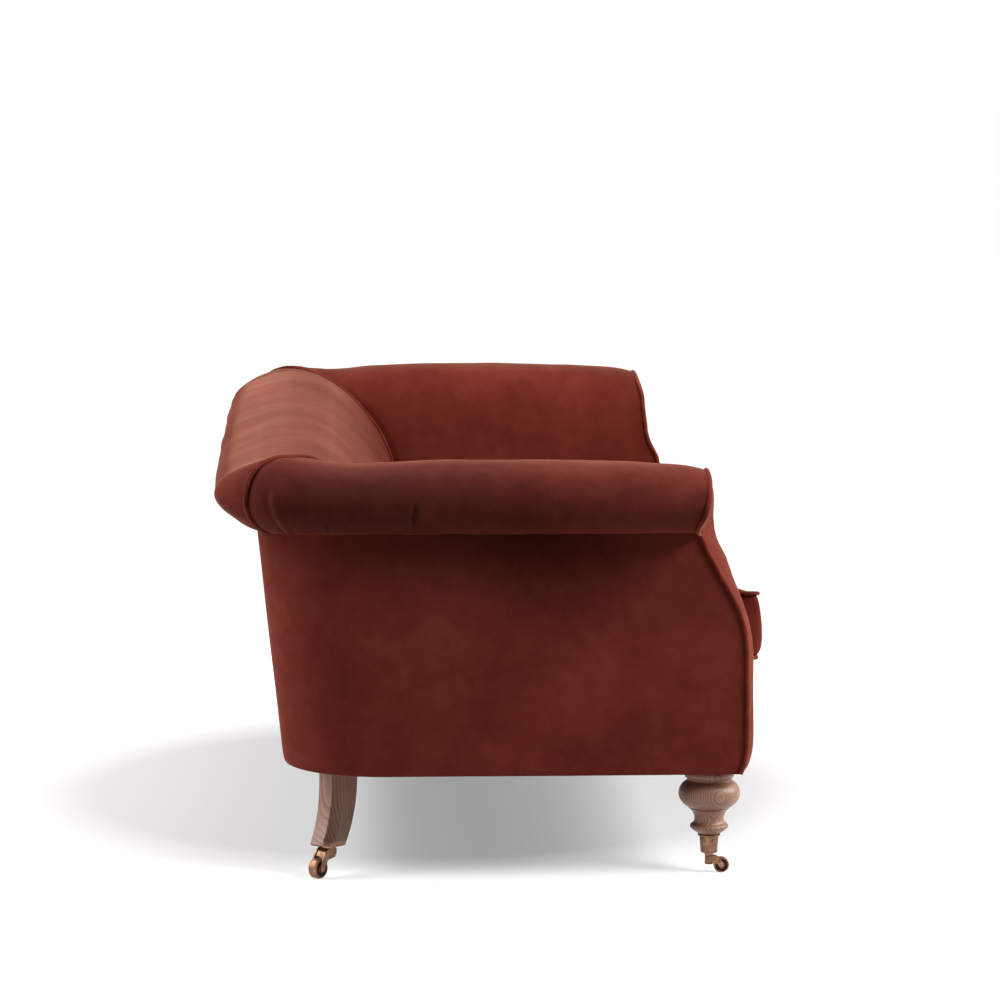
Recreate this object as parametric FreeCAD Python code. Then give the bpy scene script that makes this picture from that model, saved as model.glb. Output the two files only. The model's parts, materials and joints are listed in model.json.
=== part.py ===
import FreeCAD
import Part

import math
import os

from FreeCAD import Vector

# Low-back scroll-arm sofa on turned front legs and sabre rear legs, with a castor under each.
# X runs along the length, the front faces -Y and Z is up. Lengths are in millimetres, angles in degrees.
# "In" is a distance from the outermost line of the scroll towards the seat, on the arms and the back alike.
# "Behind" is a distance back from the front line of the cushions, and a drop is a distance down from the crest.

# Overall
sofa_length = 2100
sofa_depth = 984
crest_height = 748
body_base = 190

# Scroll section, shared by arms and back as far as the corner axis
overhang = 76
scroll_rise = 129
crest_in = 125
corner_in = 190
corner_drop = 11
under_shares = [(0.50, 0.06), (0.16, 0.225)]
nose_shares = [(0.0, 0.48), (0.184, 0.775)]

# Inside faces below the scroll
arm_in = 234
arm_shoulder_step = 8
arm_shoulder_drop = 68
arm_straight_drop = 188
shoulder_bow = 9
back_in = 350
back_slope_step = 25
back_slope_drop = 155
back_slope_bow = 15
back_straight_step = 2
back_straight_drop = 268
lower_bow_share = 0.2
back_rake = 45
body_corner_radius = 180

# Covers and stuffing
cover_wall = 3
soft_gap = 0.3
flange_reach = 36
pad_lift = 4
arm_pad_wall = 49
back_pad_foot_wall = 98
back_pad_break_drop = 148
rail_seat_rise = 66

# Arm fronts
facing_behind = 26
facing_set_back = 74
facing_base_rise = 195
facing_top_drop = 133
facing_turn = 9
facing_wall = 12
facing_middle_in = 153
board_wall = 22
piping_radius = 4
piping_lead = 2

# Timber frame
rail_wall = 30
rail_height = 156
front_rail_behind = 71
post_wall = 50
arm_post_width = 60
arm_post_place_share = 0.37
stay_rail_height = 40
stay_rail_wall = 34
corner_rail_wall = 66
rib_wall = 22
rib_places_shares = [-0.8, -0.4, 0.0, 0.4, 0.8]
cross_rail_wall = 40
cross_rail_height = 60
cross_rail_place_share = 0.38
leg_block_width = 80
leg_block_depth = 46
leg_block_height = 60

# Webbing, seat platform and front border
webbing_wall = 2
webbing_width = 60
seat_web_count = 10
cross_web_count = 4
back_web_count = 4
arm_web_count = 5
platform_wall = 18
border_behind = 37
border_round = 21
dust_cover_wall = 1.5
dust_cover_inset = 12
leg_hole_gap = 3

# Seat cushions
cushion_lift = 8
cushion_boxing = 121
cushion_crown = 28
cushion_front_draw = 30
cushion_boxing_swell = 3
cushion_gap = 1
crown_steps_shares = [(0.0, 0.0), (0.14, 0.42), (0.38, 0.82), (0.75, 1.0)]
belly_steps_shares = [(0.0, 0.0), (0.35, 1.0)]

# Front legs: turned, a radius at each share of the height from cup to body
front_leg_in = 142
front_leg_behind = 102
tenon_foot_radius = 13
tenon_top_radius = 15.3
ankle_radius = 19
bead_radius = 34
bead_round = 4
cove_radius = 26.5
cove_top_radius = 28
groove_radius = 36
ball_foot_radius = 38
ball_radius = 55
neck_radius = 40
flare_radius = 44
ankle_share = 0.22
bead_foot_share = 0.27
bead_low_share = 0.29
bead_high_share = 0.335
bead_top_share = 0.355
cove_share = 0.40
cove_top_share = 0.46
groove_share = 0.525
ball_foot_share = 0.545
ball_share = 0.716
neck_share = 0.875
flare_share = 0.947

# Rear legs: square, set on the diagonal, swept back and out
rear_leg_setting = 54
rear_leg_bearing = 39.5
rear_leg_top_side = 50
rear_leg_foot_side = 46
rear_leg_sweep = 27
rear_leg_foot_height = 58
rear_leg_chamfer_share = 0.3
rear_leg_steps_shares = [(0.0, 0.0), (0.35, 0.08), (0.7, 0.42), (1.0, 1.0)]

# Leg bolts
bolt_radius = 5
bolt_length = 84
bolt_depth = 40
bolt_gap = 0.1

# Castors
running_gap = 0.05
socket_gap = 0.2
cup_wall = 1.6
cup_foot_height = 36.5
cup_floor_wall = 1.8
cup_rim_radius = 20
cup_rim_wall = 2.5
cup_rim_drop = 1
plate_wall = 3
plate_side = 44

front_castor = {
    "wheel_radius": 14,
    "wheel_width": 11,
    "wheel_gap": 0.6,
    "trail_turn": -90,
    "boss_radius": 7.4,
    "boss_height": 21,
    "pin_radius": 3.5,
    "pin_floor": 2,
    "axle_radius": 2.5,
    "cheek_wall": 2.4,
    "hub_radius": 5,
}
rear_castor = {
    "wheel_radius": 18,
    "wheel_width": 17,
    "wheel_gap": 0.6,
    "trail_turn": 39,
    "boss_radius": 10,
    "boss_height": 34,
    "pin_radius": 4.5,
    "pin_floor": 3,
    "axle_radius": 3,
    "cheek_wall": 3,
    "hub_radius": 6.5,
}
horn_gap = 0.6
cheek_neck_share = 0.12
cheek_heel_share = 0.6
cheek_belly_share = 0.5
cheek_bow_share = 0.3

overrun = 60

half_length = sofa_length / 2
half_depth = sofa_depth / 2
axis_x = half_length - corner_in
axis_y = half_depth - corner_in
frame_in = overhang + cover_wall + soft_gap
scroll_base = crest_height - scroll_rise
corner_height = crest_height - corner_drop
rail_seat_height = scroll_base + rail_seat_rise
rail_top = body_base + rail_height
side_rail_top = rail_top - webbing_wall
pad_base = rail_top + pad_lift
platform_top = rail_top + webbing_wall + platform_wall
flange_in = overhang + flange_reach
pad_inner_in = arm_in - arm_pad_wall
back_pad_foot_in = back_in - back_pad_foot_wall
front_rail_y = front_rail_behind - half_depth
board_back = facing_wall + board_wall + 2 * soft_gap
cushion_low_edge = platform_top + cushion_lift
cushion_top_edge = cushion_low_edge + cushion_boxing
turn_x = half_length - overhang - body_corner_radius
turn_y = half_depth - overhang - back_rake - body_corner_radius
front_leg_x = half_length - front_leg_in
front_leg_y = front_leg_behind - half_depth
tenon_foot_height = cup_foot_height + cup_floor_wall + socket_gap
diagonal = math.sin(math.radians(45))
up = Vector(0, 0, 1)


def flat(inward, height):
    # a point of the section, in the plane that faces along Y
    return Vector(-inward, 0, height)


def line(a, b):
    return Part.LineSegment(a, b).toShape()


def arc(a, b, c):
    return Part.Arc(a, b, c).toShape()


def polygon(points):
    return Part.Face(Part.makePolygon(points + [points[0]]))


def box(low, high):
    low = Vector(*low)
    size = Vector(*high) - low
    return Part.makeBox(size.x, size.y, size.z, low)


def turn(shape, centre, axis, degrees):
    turned = shape.copy()
    turned.rotate(centre, axis, degrees)
    return turned


def moved(shape, x, y, z):
    placed = shape.copy()
    placed.translate(Vector(x, y, z))
    return placed


def mirrored(shape):
    return shape.mirror(Vector(0, 0, 0), Vector(1, 0, 0))


def group(shapes):
    return Part.makeCompound([s for shape in shapes for s in shape.Solids])


def both_sides(shape):
    return group([shape, mirrored(shape)])


def save(name, shape):
    solids = shape.Solids
    kept = solids[0] if len(solids) == 1 else Part.makeCompound(solids)
    kept.exportStep("parts/" + name + ".step")
    print(name, len(solids), "solids", round(kept.Volume / 1000), "cm3")


# Scroll sections

def scroll_edges():
    # from the tacking line under the scroll, round its nose and over the crest to the corner axis
    start = flat(overhang, scroll_base)
    points = [flat(share[0] * overhang, scroll_base + share[1] * scroll_rise) for share in under_shares]
    nose = [
        flat(nose_shares[0][0] * crest_in, scroll_base + nose_shares[0][1] * scroll_rise),
        flat(nose_shares[1][0] * crest_in, scroll_base + nose_shares[1][1] * scroll_rise),
    ]
    return [
        arc(start, points[0], points[1]),
        arc(points[1], nose[0], nose[1]),
        arc(nose[1], flat(crest_in, crest_height), flat(corner_in, corner_height)),
    ]


def bowed(a, b, bow):
    # an arc from a to b that stands out by bow, away from the stuffing
    along = b - a
    out = Vector(-along.z, 0, along.x).normalize()
    middle = (a + b) / 2 + out * bow
    return arc(a, middle, b)


def down_to_base(foot, base):
    return [
        line(foot, flat(overhang, base)),
        line(flat(overhang, base), flat(overhang, scroll_base)),
    ]


def arm_edges(base):
    shoulder = flat(arm_in - arm_shoulder_step, crest_height - arm_shoulder_drop)
    straight = flat(arm_in, crest_height - arm_straight_drop)
    foot = flat(arm_in, base)
    inside = [
        bowed(flat(corner_in, corner_height), shoulder, -shoulder_bow),
        bowed(shoulder, straight, -shoulder_bow * lower_bow_share),
        line(straight, foot),
    ]
    return scroll_edges() + inside + down_to_base(foot, base)


def back_edges(base):
    slope = flat(back_in - back_slope_step, crest_height - back_slope_drop)
    straight = flat(back_in - back_straight_step, crest_height - back_straight_drop)
    foot = flat(back_in, base)
    inside = [
        bowed(flat(corner_in, corner_height), slope, -back_slope_bow),
        bowed(slope, straight, -back_slope_bow * lower_bow_share),
        line(straight, foot),
    ]
    return scroll_edges() + inside + down_to_base(foot, base)


def region(edges):
    return Part.Face(Part.Wire(edges))


def chorded(edges):
    # the same outline with two chords for each arc, for faces that nothing shows
    points = []
    for edge in edges:
        points.append(edge.valueAt(edge.FirstParameter))
        if edge.Curve.TypeId == "Part::GeomCircle":
            points.append(edge.valueAt((edge.FirstParameter + edge.LastParameter) / 2))
    return polygon(points)


def inset(region, wall):
    return region.makeOffset2D(-wall)


def strip(low, high):
    return polygon([
        flat(low[0], low[1]),
        flat(high[0], low[1]),
        flat(high[0], high[1]),
        flat(low[0], high[1]),
    ])


def cover_section(edges, frame_reach):
    # the skin round the stuffing, without the side towards the frame
    skin = region(edges).cut(inset(chorded(edges), cover_wall))
    return skin.cut(strip((overhang - overrun, pad_base - overrun), (frame_reach, scroll_base)))


def pad_section(edges, hollow):
    return inset(chorded(edges), cover_wall + soft_gap).cut(hollow)


def arm_hollow(frame_reach):
    return strip((overhang, pad_base - overrun), (frame_reach, rail_seat_height))


def back_hollow():
    return polygon([
        flat(overhang, pad_base - overrun),
        flat(back_pad_foot_in, pad_base - overrun),
        flat(back_pad_foot_in, pad_base),
        flat(corner_in, crest_height - back_pad_break_drop),
        flat(corner_in, rail_seat_height),
        flat(overhang, rail_seat_height),
    ])


def along_arm(section, start, end):
    placed = moved(section, half_length, start, 0)
    return placed.extrude(Vector(0, end - start, 0))


def along_back(section, reach):
    placed = turn(section, Vector(0, 0, 0), up, 90)
    placed.translate(Vector(-reach, half_depth, 0))
    return placed.extrude(Vector(2 * reach, 0, 0))


def round_corner(section, start, sweep):
    # the part of a section outside the corner axis, turned about it
    outer = section.common(strip((-overrun, 0), (corner_in, crest_height + overrun)))
    placed = moved(outer, half_length, axis_y, 0)
    centre = Vector(axis_x, axis_y, 0)
    placed.rotate(centre, up, start)
    return placed.revolve(centre, up, sweep)


# Arm fronts

def front_curve(shift):
    # side profile of an arm front: upright, an S of two arcs set back towards the top, upright again
    base = body_base + facing_base_rise
    top = crest_height - facing_top_drop
    rise = top - base
    radius = (rise ** 2 + facing_set_back ** 2) / (4 * facing_set_back)
    bend = 2 * math.atan2(facing_set_back, rise)
    low_y = facing_behind - half_depth + shift
    high_y = low_y + facing_set_back
    half = bend / 2

    def low(angle):
        return Vector(0, low_y + radius * (1 - math.cos(angle)), base + radius * math.sin(angle))

    def high(angle):
        return Vector(0, high_y - radius * (1 - math.cos(angle)), top - radius * math.sin(angle))

    foot = Vector(0, low_y, body_base - overrun)
    head = Vector(0, high_y, crest_height + overrun)
    return [
        line(foot, low(0)),
        arc(low(0), low(half), low(bend)),
        arc(high(bend), high(half), high(0)),
        line(high(0), head),
    ]


def front_slab(shift, wall):
    # everything between two arm-front curves, turned a little outward
    near = front_curve(shift)
    far = front_curve(shift + wall)
    ends = [
        line(near[0].Vertexes[0].Point, far[0].Vertexes[0].Point),
        line(near[-1].Vertexes[-1].Point, far[-1].Vertexes[-1].Point),
    ]
    face = Part.Face(Part.Wire(Part.__sortEdges__(near + far + ends)))
    reach = 2 * arm_in
    face.translate(Vector(-reach, 0, 0))
    slab = face.extrude(Vector(2 * reach, 0, 0))
    slab = turn(slab, Vector(0, 0, 0), up, facing_turn)
    return moved(slab, half_length - facing_middle_in, 0, 0)


def ahead_of(shift):
    return front_slab(shift - half_depth, half_depth)


def front_outline(offset):
    outline = region(arm_edges(body_base - overrun)).makeOffset2D(offset)
    floor = box((0, -sofa_depth, 0), (half_length + overrun, 0, body_base))
    return along_arm(outline, -half_depth - overrun, 0).cut(floor)


def arm_facing():
    return front_slab(0, facing_wall).common(front_outline(-piping_radius - soft_gap))


def facing_piping():
    ring = front_outline(piping_radius).cut(front_outline(-piping_radius))
    return front_slab(piping_lead, 2 * piping_radius).common(ring)


def scroll_board():
    start = facing_wall + soft_gap
    return front_slab(start, board_wall).common(front_outline(-cover_wall - soft_gap))


def arm_cover():
    run = along_arm(cover_section(arm_edges(pad_base), pad_inner_in), -half_depth, axis_y)
    bend = round_corner(cover_section(arm_edges(pad_base), corner_in), 0, 45)
    flange = strip((overhang, scroll_base), (flange_in, scroll_base + cover_wall))
    flange_run = along_arm(flange, -half_depth, axis_y).cut(ahead_of(board_back))
    flange_bend = round_corner(flange, 0, 45)
    skin = run.cut([ahead_of(facing_wall + soft_gap), scroll_board()])
    return skin.fuse([bend, flange_run, flange_bend]).removeSplitter()


def arm_pad():
    section = pad_section(arm_edges(pad_base), arm_hollow(pad_inner_in))
    run = along_arm(section, -half_depth, axis_y).cut(ahead_of(board_back))
    bend = round_corner(pad_section(arm_edges(pad_base), arm_hollow(corner_in)), 0, 45)
    return run.fuse(bend).removeSplitter()


def arm_space():
    # what the arms take of the inside corners, which the back fits against
    return both_sides(along_arm(region(arm_edges(pad_base - overrun)), -half_depth, axis_y))


def back_cover():
    section = cover_section(back_edges(pad_base), back_pad_foot_in)
    flange = strip((overhang, scroll_base), (flange_in, scroll_base + cover_wall))
    run = along_back(section, axis_x).fuse(along_back(flange, axis_x))
    run = run.cut(arm_space())
    bend = both_sides(round_corner(section, 45, 45))
    flange_bend = both_sides(round_corner(flange, 45, 45))
    return run.fuse([bend, flange_bend]).removeSplitter()


def back_pad():
    section = pad_section(back_edges(pad_base), back_hollow())
    run = along_back(section, axis_x).cut(arm_space())
    bend = both_sides(round_corner(section, 45, 45))
    return run.fuse(bend).removeSplitter()


def mitre_piping():
    # the bead over the seam at a rear corner, from the tacking line to the corner axis
    section = region(arm_edges(pad_base))
    ring = section.makeOffset2D(2 * piping_radius + soft_gap).cut(section.makeOffset2D(soft_gap))
    ring = ring.common(strip((-overrun, scroll_base), (corner_in, crest_height + overrun)))
    placed = moved(ring, corner_in, -piping_radius, 0)
    bead = placed.extrude(Vector(0, 2 * piping_radius, 0))
    bead = turn(bead, Vector(0, 0, 0), up, 45)
    return moved(bead, axis_x, axis_y, 0)


# Outside panel, which wraps both arms and the back

def plan_outline(wall, height, front):
    share = (height - body_base) / (scroll_base - body_base)
    side = half_length - overhang - wall
    back = half_depth - overhang - back_rake * (1 - share) - wall
    radius = body_corner_radius - wall
    centre = Vector(side - radius, back - radius, height)
    slant = radius * diagonal
    middle = centre + Vector(slant, slant, 0)
    start = Vector(side, front, height)
    turn_in = Vector(side, centre.y, height)
    turn_out = Vector(centre.x, back, height)

    def other(point):
        return Vector(-point.x, point.y, point.z)

    return Part.Wire([
        line(start, turn_in),
        arc(turn_in, middle, turn_out),
        line(turn_out, other(turn_out)),
        arc(other(turn_out), other(middle), other(turn_in)),
        line(other(turn_in), other(start)),
        line(other(start), start),
    ])


def body_volume(wall, top, front):
    low = plan_outline(wall, body_base, front)
    high = plan_outline(wall, top, front)
    return Part.makeLoft([low, high], True, True)


def outside_cover():
    top = scroll_base - soft_gap
    shell = body_volume(0, top, -half_depth).cut(body_volume(cover_wall, top, -half_depth - overrun))
    front = ahead_of(facing_wall + soft_gap)
    return shell.cut(both_sides(front))


# Timber frame

def side_rail():
    outer = half_length - frame_in
    rail = box((outer - rail_wall, -half_depth, body_base), (outer, turn_y, side_rail_top))
    return rail.cut(ahead_of(board_back))


def corner_rail():
    outer = body_corner_radius - cover_wall - soft_gap
    centre = Vector(turn_x, turn_y, body_base)
    section = polygon([
        centre + Vector(outer - corner_rail_wall, 0, 0),
        centre + Vector(outer, 0, 0),
        centre + Vector(outer, 0, side_rail_top - body_base),
        centre + Vector(outer - corner_rail_wall, 0, side_rail_top - body_base),
    ])
    return section.revolve(centre, up, 90)


def rear_rail():
    back = half_depth - overhang - back_rake - cover_wall - soft_gap
    reach = turn_x
    return box((-reach, back - rail_wall, body_base), (reach, back, rail_top))


def front_rail():
    reach = half_length - frame_in - rail_wall
    return box((-reach, front_rail_y, body_base), (reach, front_rail_y + rail_wall, rail_top))


def cross_rails():
    front = front_rail_y + rail_wall
    back = half_depth - overhang - back_rake - cover_wall - soft_gap - rail_wall
    start = cross_rail_place_share * turn_x
    rail = box((start, front, body_base), (start + cross_rail_wall, back, body_base + cross_rail_height))
    return both_sides(rail)


def leg_block():
    outer = half_length - frame_in - rail_wall
    front = front_rail_y + rail_wall
    return box(
        (outer - leg_block_width, front, body_base),
        (outer, front + leg_block_depth, body_base + leg_block_height),
    )


def corner_post_end():
    # how far the post reaches from the axis of the rounded corner, along X and Y alike
    return (body_corner_radius - cover_wall - soft_gap) * diagonal


def corner_post():
    inner_x = half_length - pad_inner_in + soft_gap
    back = turn_y + corner_post_end()
    return box(
        (inner_x, back - post_wall, side_rail_top),
        (turn_x + corner_post_end(), back, scroll_base + cover_wall),
    )


def arm_post():
    outer = half_length - frame_in
    start = arm_post_place_share * sofa_depth - half_depth
    return box((outer - rail_wall, start, side_rail_top), (outer, start + arm_post_width, scroll_base))


def rail_section():
    return strip(
        (overhang + soft_gap, scroll_base + cover_wall),
        (pad_inner_in - soft_gap, rail_seat_height - soft_gap),
    )


def arm_top_rail():
    return along_arm(rail_section(), -half_depth, axis_y).cut(ahead_of(board_back))


def back_top_rail():
    return along_back(rail_section(), axis_x)


def corner_bend():
    section = strip(
        (overhang + soft_gap, scroll_base + cover_wall),
        (corner_in, rail_seat_height - soft_gap),
    )
    return round_corner(section, 0, 90)


def arm_stay_rail():
    section = strip(
        (pad_inner_in - webbing_wall - stay_rail_wall, pad_base),
        (pad_inner_in - webbing_wall, pad_base + stay_rail_height),
    )
    return along_arm(section, -half_depth, turn_y + corner_post_end() - post_wall).cut(ahead_of(board_back))


def back_rib_section():
    # a plywood rib: its front edge carries the webbing, its back edge follows the rake
    share = (rail_top - body_base) / (scroll_base - body_base)
    outer = overhang + cover_wall + soft_gap
    return polygon([
        flat(outer + back_rake * (1 - share) + soft_gap, rail_top),
        flat(back_pad_foot_in - webbing_wall, rail_top),
        flat(back_pad_foot_in - webbing_wall, pad_base),
        flat(corner_in - webbing_wall, crest_height - back_pad_break_drop),
        flat(corner_in - webbing_wall, scroll_base + cover_wall),
        flat(flange_in, scroll_base + cover_wall),
        flat(flange_in, scroll_base),
        flat(outer + soft_gap, scroll_base),
    ])


def back_ribs():
    reach = turn_x
    placed = turn(back_rib_section(), Vector(0, 0, 0), up, 90)
    ribs = []
    for share in rib_places_shares:
        middle = share * reach
        rib = moved(placed, middle - rib_wall / 2, half_depth, 0)
        ribs.append(rib.extrude(Vector(rib_wall, 0, 0)))
    return group(ribs)


# Webbing and seat

def spread(count, low, high, width):
    # start of each strap, with equal gaps
    pitch = (high - low) / count
    return [low + pitch * (i + 1 / 2) - width / 2 for i in range(count)]


def seat_webbing():
    front = front_rail_y
    back = half_depth - overhang - back_rake - cover_wall - soft_gap
    reach = turn_x
    straps = []
    for x in spread(seat_web_count, -reach, reach, webbing_width):
        straps.append(box((x, front, rail_top), (x + webbing_width, back, rail_top + webbing_wall)))
    return group(straps)


def cross_webbing():
    reach = half_length - frame_in
    straps = []
    for y in spread(cross_web_count, front_rail_y + rail_wall, turn_y, webbing_width):
        straps.append(box((-reach, y, side_rail_top), (reach, y + webbing_width, rail_top)))
    return group(straps)


def back_webbing():
    # horizontal straps on the slanted front edges of the ribs
    low = flat(back_pad_foot_in - soft_gap, pad_base)
    high = flat(corner_in - soft_gap, crest_height - back_pad_break_drop)
    along = high - low
    face_in = Vector(webbing_wall - soft_gap, 0, 0)
    reach = turn_x
    straps = []
    for start in spread(back_web_count, 0, along.Length, webbing_width):
        a = low + along * (start / along.Length)
        b = low + along * ((start + webbing_width) / along.Length)
        section = polygon([a, b, b + face_in, a + face_in])
        straps.append(along_back(section, reach))
    return group(straps)


def arm_webbing():
    # upright straps between the top rail and the stay rail, behind the inside arm stuffing
    outer = half_length - pad_inner_in + soft_gap
    straps = []
    front = facing_behind - half_depth + facing_set_back + board_back
    back = turn_y + corner_post_end() - post_wall
    for y in spread(arm_web_count, front, back, webbing_width):
        straps.append(box(
            (outer, y, pad_base),
            (outer + webbing_wall - soft_gap, y + webbing_width, scroll_base + cover_wall),
        ))
    return both_sides(group(straps))


def seat_platform():
    reach = half_length - arm_in - soft_gap
    back = half_depth - back_in - soft_gap
    return box(
        (-reach, front_rail_y + rail_wall + soft_gap, rail_top + webbing_wall),
        (reach, back, platform_top),
    )


def front_border():
    def point(y, z):
        return Vector(0, y, z)

    border_y = border_behind - half_depth
    bend = border_round * (1 - diagonal)
    shelf = rail_top + webbing_wall
    behind = front_rail_y - soft_gap
    edges = [
        line(point(border_y, body_base), point(border_y, platform_top - border_round)),
        arc(
            point(border_y, platform_top - border_round),
            point(border_y + bend, platform_top - bend),
            point(border_y + border_round, platform_top),
        ),
        line(point(border_y + border_round, platform_top), point(front_rail_y + rail_wall, platform_top)),
        line(point(front_rail_y + rail_wall, platform_top), point(front_rail_y + rail_wall, shelf)),
        line(point(front_rail_y + rail_wall, shelf), point(behind, shelf)),
        line(point(behind, shelf), point(behind, body_base)),
        line(point(behind, body_base), point(border_y, body_base)),
    ]
    reach = half_length - arm_in - piping_radius - soft_gap
    face = Part.Face(Part.Wire(edges))
    face.translate(Vector(-reach, 0, 0))
    return face.extrude(Vector(2 * reach, 0, 0))


def dust_cover():
    low = plan_outline(dust_cover_inset, body_base, front_rail_y)
    sheet = Part.Face(low).extrude(Vector(0, 0, -dust_cover_wall))
    front_hole = Part.makeCylinder(
        flare_radius + leg_hole_gap, overrun, Vector(front_leg_x, front_leg_y, body_base - overrun / 2)
    )
    half = rear_leg_top_side / 2 + leg_hole_gap
    rear_hole = box((-half, -half, -overrun), (half, half, overrun))
    rear_hole = moved(turn(rear_hole, Vector(0, 0, 0), up, 45), rear_leg_x, rear_leg_y, body_base)
    return sheet.cut([front_hole, rear_hole, mirrored(front_hole), mirrored(rear_hole)])


# Seat cushions

def cushion_outline(inset_by, height, swell):
    # the front is drawn in, and its corners stand proud
    grow = swell - inset_by - cushion_boxing_swell
    left = cushion_gap / 2 - grow
    right = cushion_side() + grow
    front = -half_depth - grow
    back = half_depth - back_in - cushion_gap + grow
    draw = cushion_front_draw * (1 - inset_by / cushion_half_span())
    corners = [
        Vector(left, front, height),
        Vector(right, front, height),
        Vector(right, back, height),
        Vector(left, back, height),
    ]
    return Part.Wire([
        arc(corners[0], Vector((left + right) / 2, front + draw, height), corners[1]),
        line(corners[1], corners[2]),
        line(corners[2], corners[3]),
        line(corners[3], corners[0]),
    ])


def cushion_side():
    # clear of the piped inner edge of the arm front
    return half_length - arm_in - piping_radius - cushion_gap


def cushion_half_span():
    # half of a cushion's shorter side
    width = cushion_side() - cushion_gap / 2
    depth = sofa_depth - back_in - cushion_gap
    return min(width, depth) / 2


def cushion():
    half_span = cushion_half_span()
    middle_height = (cushion_low_edge + cushion_top_edge) / 2
    boxing = Part.makeLoft([
        cushion_outline(0, cushion_low_edge, 0),
        cushion_outline(0, middle_height, cushion_boxing_swell),
        cushion_outline(0, cushion_top_edge, 0),
    ], True, True)
    crown = Part.makeLoft([
        cushion_outline(step[0] * half_span, cushion_top_edge + step[1] * cushion_crown, 0)
        for step in crown_steps_shares
    ], True, True)
    drop = cushion_low_edge - platform_top - soft_gap
    belly = Part.makeLoft([
        cushion_outline(step[0] * half_span, cushion_low_edge - step[1] * drop, 0)
        for step in belly_steps_shares
    ], True, True)
    return boxing.fuse([crown, belly])


# Legs

def turned_point(radius, height):
    return Vector(radius, 0, height)


def turning(radius, share):
    return turned_point(radius, tenon_foot_height + share * (body_base - tenon_foot_height))


def chain(points):
    return [line(points[i], points[i + 1]) for i in range(len(points) - 1)]


def front_leg():
    shoulder = bead_radius - bead_round
    ankle = turning(ankle_radius, ankle_share)
    neck = turning(neck_radius, neck_share)
    ball_foot = turning(ball_foot_radius, ball_foot_share)
    below = chain([
        turned_point(0, tenon_foot_height),
        turned_point(tenon_foot_radius, tenon_foot_height),
        turned_point(tenon_top_radius, ankle.z),
        ankle,
        turning(shoulder, bead_foot_share),
        turning(bead_radius, bead_low_share),
        turning(bead_radius, bead_high_share),
        turning(shoulder, bead_top_share),
        turning(cove_radius, cove_share),
        turning(cove_top_radius, cove_top_share),
        turning(groove_radius, groove_share),
        ball_foot,
    ])
    above = chain([
        neck,
        turning(flare_radius, flare_share),
        turned_point(neck_radius, body_base),
        turned_point(0, body_base),
        turned_point(0, tenon_foot_height),
    ])
    profile = below + [arc(ball_foot, turning(ball_radius, ball_share), neck)] + above
    leg = region(profile).revolve(Vector(0, 0, 0), up, 360)
    return moved(leg, front_leg_x, front_leg_y, 0).cut(bolt_hole(front_leg_x, front_leg_y))


def rear_leg_place():
    # on the bent rail, between its inner and outer faces
    reach = body_corner_radius - rear_leg_setting
    bearing = math.radians(rear_leg_bearing)
    return turn_x + reach * math.cos(bearing), turn_y + reach * math.sin(bearing)


rear_leg_x, rear_leg_y = rear_leg_place()


def rear_leg_outline(share_down, share_out):
    height = body_base - share_down * (body_base - rear_leg_foot_height)
    side = rear_leg_top_side - share_down * (rear_leg_top_side - rear_leg_foot_side)
    out = share_out * rear_leg_sweep * diagonal
    half = side * diagonal
    cut = half * rear_leg_chamfer_share
    centre = Vector(rear_leg_x + out, rear_leg_y + out, height)
    return Part.makePolygon([
        centre + Vector(half - cut, -cut, 0),
        centre + Vector(half - cut, cut, 0),
        centre + Vector(0, half, 0),
        centre + Vector(-half, 0, 0),
        centre + Vector(0, -half, 0),
        centre + Vector(half - cut, -cut, 0),
    ])


def rear_leg():
    outlines = [rear_leg_outline(step[0], step[1]) for step in rear_leg_steps_shares]
    leg = Part.makeLoft(outlines, True, False)
    return leg.cut(bolt_hole(rear_leg_x, rear_leg_y))


def bolt_hole(x, y):
    return Part.makeCylinder(
        bolt_radius + bolt_gap, bolt_length + 2 * bolt_gap, Vector(x, y, body_base - bolt_depth - bolt_gap)
    )


def leg_bolts():
    bolts = []
    for x, y in ((front_leg_x, front_leg_y), (rear_leg_x, rear_leg_y)):
        bolts.append(Part.makeCylinder(bolt_radius, bolt_length, Vector(x, y, body_base - bolt_depth)))
    return both_sides(group(bolts))


# Castors

def rear_castor_centre():
    out = rear_leg_sweep * diagonal
    return rear_leg_x + out, rear_leg_y + out


def trail(castor):
    return castor["boss_radius"] + castor["wheel_gap"] + castor["wheel_radius"]


def pin(castor, x, y, horn_top, top):
    base = horn_top - castor["boss_height"] + castor["pin_floor"]
    return Part.makeCylinder(castor["pin_radius"], top - base, Vector(x, y, base))


def front_horn_top():
    return cup_foot_height - horn_gap


def rear_horn_top():
    return rear_leg_foot_height - plate_wall - horn_gap


def front_cup():
    inner_top = tenon_top_radius + socket_gap
    inner_foot = tenon_foot_radius + socket_gap
    rim_height = turning(ankle_radius, ankle_share).z - cup_rim_drop
    rim_base = rim_height - cup_rim_wall
    floor_height = cup_foot_height + cup_floor_wall
    points = [
        turned_point(0, floor_height),
        turned_point(inner_foot, floor_height),
        turned_point(inner_top, rim_height),
        turned_point(cup_rim_radius, rim_height),
        turned_point(cup_rim_radius, rim_base),
        turned_point(inner_top + cup_wall, rim_base),
        turned_point(inner_foot + cup_wall, cup_foot_height),
        turned_point(0, cup_foot_height),
    ]
    cup = polygon(points).revolve(Vector(0, 0, 0), up, 360)
    cup = moved(cup, front_leg_x, front_leg_y, 0)
    return cup.fuse(pin(front_castor, front_leg_x, front_leg_y, front_horn_top(), floor_height))


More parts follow.
